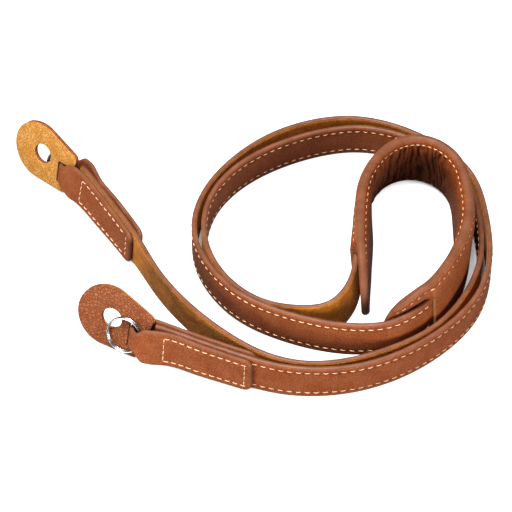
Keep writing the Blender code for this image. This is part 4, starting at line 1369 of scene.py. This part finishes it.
def make_plate(name, guard, low, high, material, rim):
    """One layer of a guard, between two levels of its thickness, with round edges and its hole."""
    corner_x = GUARD_LENGTH - GUARD_CORNER
    corner_y = GUARD_END_HALF - GUARD_CORNER
    circles = [(-GUARD_ROUND_BACK, 0.0, GUARD_ROUND_RADIUS), (corner_x, -corner_y, GUARD_CORNER),
               (corner_x, corner_y, GUARD_CORNER)]
    curve = bpy.data.curves.new(name, "CURVE")
    curve.dimensions = "2D"
    curve.fill_mode = "BOTH"
    curve.extrude = ((high - low) / 2 - GUARD_BEVEL) * MM
    curve.bevel_depth = GUARD_BEVEL * MM
    curve.bevel_resolution = 3
    hole_radius = GUARD_HOLE_RADIUS + GUARD_BEVEL
    turns = [2 * math.pi * k / GUARD_HOLE_STEPS for k in range(GUARD_HOLE_STEPS)]
    hole = [(hole_radius * math.cos(turn), -hole_radius * math.sin(turn)) for turn in turns]
    for outline in (drawn_in(round_hull(circles, GUARD_OUTLINE_STEPS), GUARD_BEVEL), hole):
        spline = curve.splines.new("POLY")
        spline.points.add(len(outline) - 1)
        for point, (x, y) in zip(spline.points, outline):
            point.co = (x * MM, y * MM, 0.0, 1.0)
        spline.use_cyclic_u = True
    shape, mesh = curve_to_shape(curve)
    layer = shape.loops.layers.uv.new("hide")
    for face in shape.faces:
        face.material_index = 0 if abs(face.normal.z) > GUARD_FLAT else 1
        for loop in face.loops:
            loop[layer].uv = (loop.vert.co.x + loop.vert.co.z, loop.vert.co.y + loop.vert.co.z)
    shape.transform(guard_place(guard) @ Matrix.Translation((0.0, 0.0, (low + high) / 2 * MM)))
    shape.to_mesh(mesh)
    shape.free()
    mesh.name = name
    indices = [face.material_index for face in mesh.polygons]
    mesh.materials.clear()
    mesh.materials.append(material)
    mesh.materials.append(rim)
    mesh.polygons.foreach_set("material_index", indices)
    return add_object(name, mesh)


def slit_cutter(to_line, material):
    """The slit that the strip passes through, a little wider and longer than the strip's fold."""
    start = -LOOP_HALF_THICKNESS - GUARD_SLIT_MARGIN
    along = sorted((to_line(start), to_line(start + GUARD_SLIT)))
    corners = box_on_line(strap_line, along, (-GUARD_SLIT_HALF, GUARD_SLIT_HALF), GUARD_CUT)
    return cutter_box("guard_slit", corners, material)


GUARD_GRAIN = leather("guard_leather", GUARD_DARK, GUARD_MAIN, GUARD_LIGHT, pebble=0.72, depth=0.22,
                      crease_shade=0.5)
GUARD_SUEDE = suede("guard_suede", GOLD_DARK, GOLD_MAIN, GOLD_LIGHT, depth=0.2, clumping=0.9)
for guard in GUARDS:
    middle = (GUARD_THICKNESS / 2 - GUARD_LEATHER) * guard.ring_side
    leather_side = sorted((middle, GUARD_THICKNESS / 2 * guard.ring_side))
    suede_side = sorted((middle, -GUARD_THICKNESS / 2 * guard.ring_side))
    for kind, (low, high), material in (("leather", leather_side, GUARD_GRAIN),
                                        ("suede", suede_side, GUARD_SUEDE)):
        plate = make_plate("guard_" + guard.letter + "_" + kind, guard, low, high, material, GUARD_GRAIN)
        cut_through(plate, [slit_cutter(FROM_FOLD[guard.letter], material)])
        plate.data.shade_smooth()
        plate.data.set_sharp_from_angle(angle=GUARD_SHARP_ANGLE)
        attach(plate, "root")
        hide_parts("guard_" + guard.letter)

# The split rings
# Nickel-plated spring wire in two flat turns, one on the other, held in the loop's fold in front of the
# guard's hole.
RING_OUTER = 15.0
RING_WIRE = 0.85
RING_STEP = 1.0
RING_CLEARANCE = 0.3
RING_OPEN_ANGLE = 20
RING_STEP_ANGLE = 14
RING_TURN_STEP = 4.0
NICKEL_BRIGHT = (0.50, 0.50, 0.50, 1.0)
NICKEL_DULL = (0.40, 0.39, 0.38, 1.0)

nickel, tree, shader = new_material("nickel_plate")
haze = noise(tree, node(tree, "ShaderNodeTexCoord").outputs["Object"], 250.0, 2.0).outputs["Fac"]
tree.links.new(ramp(tree, haze, 0.4, 0.7, 0.24, 0.32), shader.inputs["Roughness"])
dull = ramp(tree, haze, 0.45, 0.75, 0.0, 0.2)
tree.links.new(blend_colours(tree, dull, NICKEL_BRIGHT, NICKEL_DULL), shader.inputs["Base Color"])
shader.inputs["Metallic"].default_value = 1.0

radius = (RING_OUTER - RING_WIRE) / 2
base = GUARD_THICKNESS / 2 + RING_CLEARANCE + RING_WIRE / 2
turns = np.arange(RING_OPEN_ANGLE, 2 * 360 - RING_OPEN_ANGLE + 1, RING_TURN_STEP)
for guard in GUARDS:
    curve = bpy.data.curves.new("ring_wire", "CURVE")
    curve.dimensions = "3D"
    curve.bevel_depth = RING_WIRE / 2 * MM
    curve.bevel_resolution = 5
    curve.use_fill_caps = True
    spline = curve.splines.new("POLY")
    spline.points.add(len(turns) - 1)
    for point, turn in zip(spline.points, turns):
        level = RING_STEP * smooth_step((turn - 360 + RING_STEP_ANGLE) / (2 * RING_STEP_ANGLE))
        angle = math.radians(turn)
        point.co = (radius * math.cos(angle) * MM, radius * math.sin(angle) * MM,
                    (base + level) * guard.ring_side * MM, 1.0)
    shape, mesh = curve_to_shape(curve)
    shape.transform(guard_place(guard) @ Matrix.Translation(Vector((*guard.ring, 0.0)) * MM))
    shape.to_mesh(mesh)
    shape.free()
    mesh.shade_smooth()
    mesh.set_sharp_from_angle(angle=SHARP_ANGLE)
    mesh.materials.append(nickel)
    ring = add_object("ring_" + guard.letter + "_wire", mesh)
    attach(ring, "root")
    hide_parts("ring_" + guard.letter)
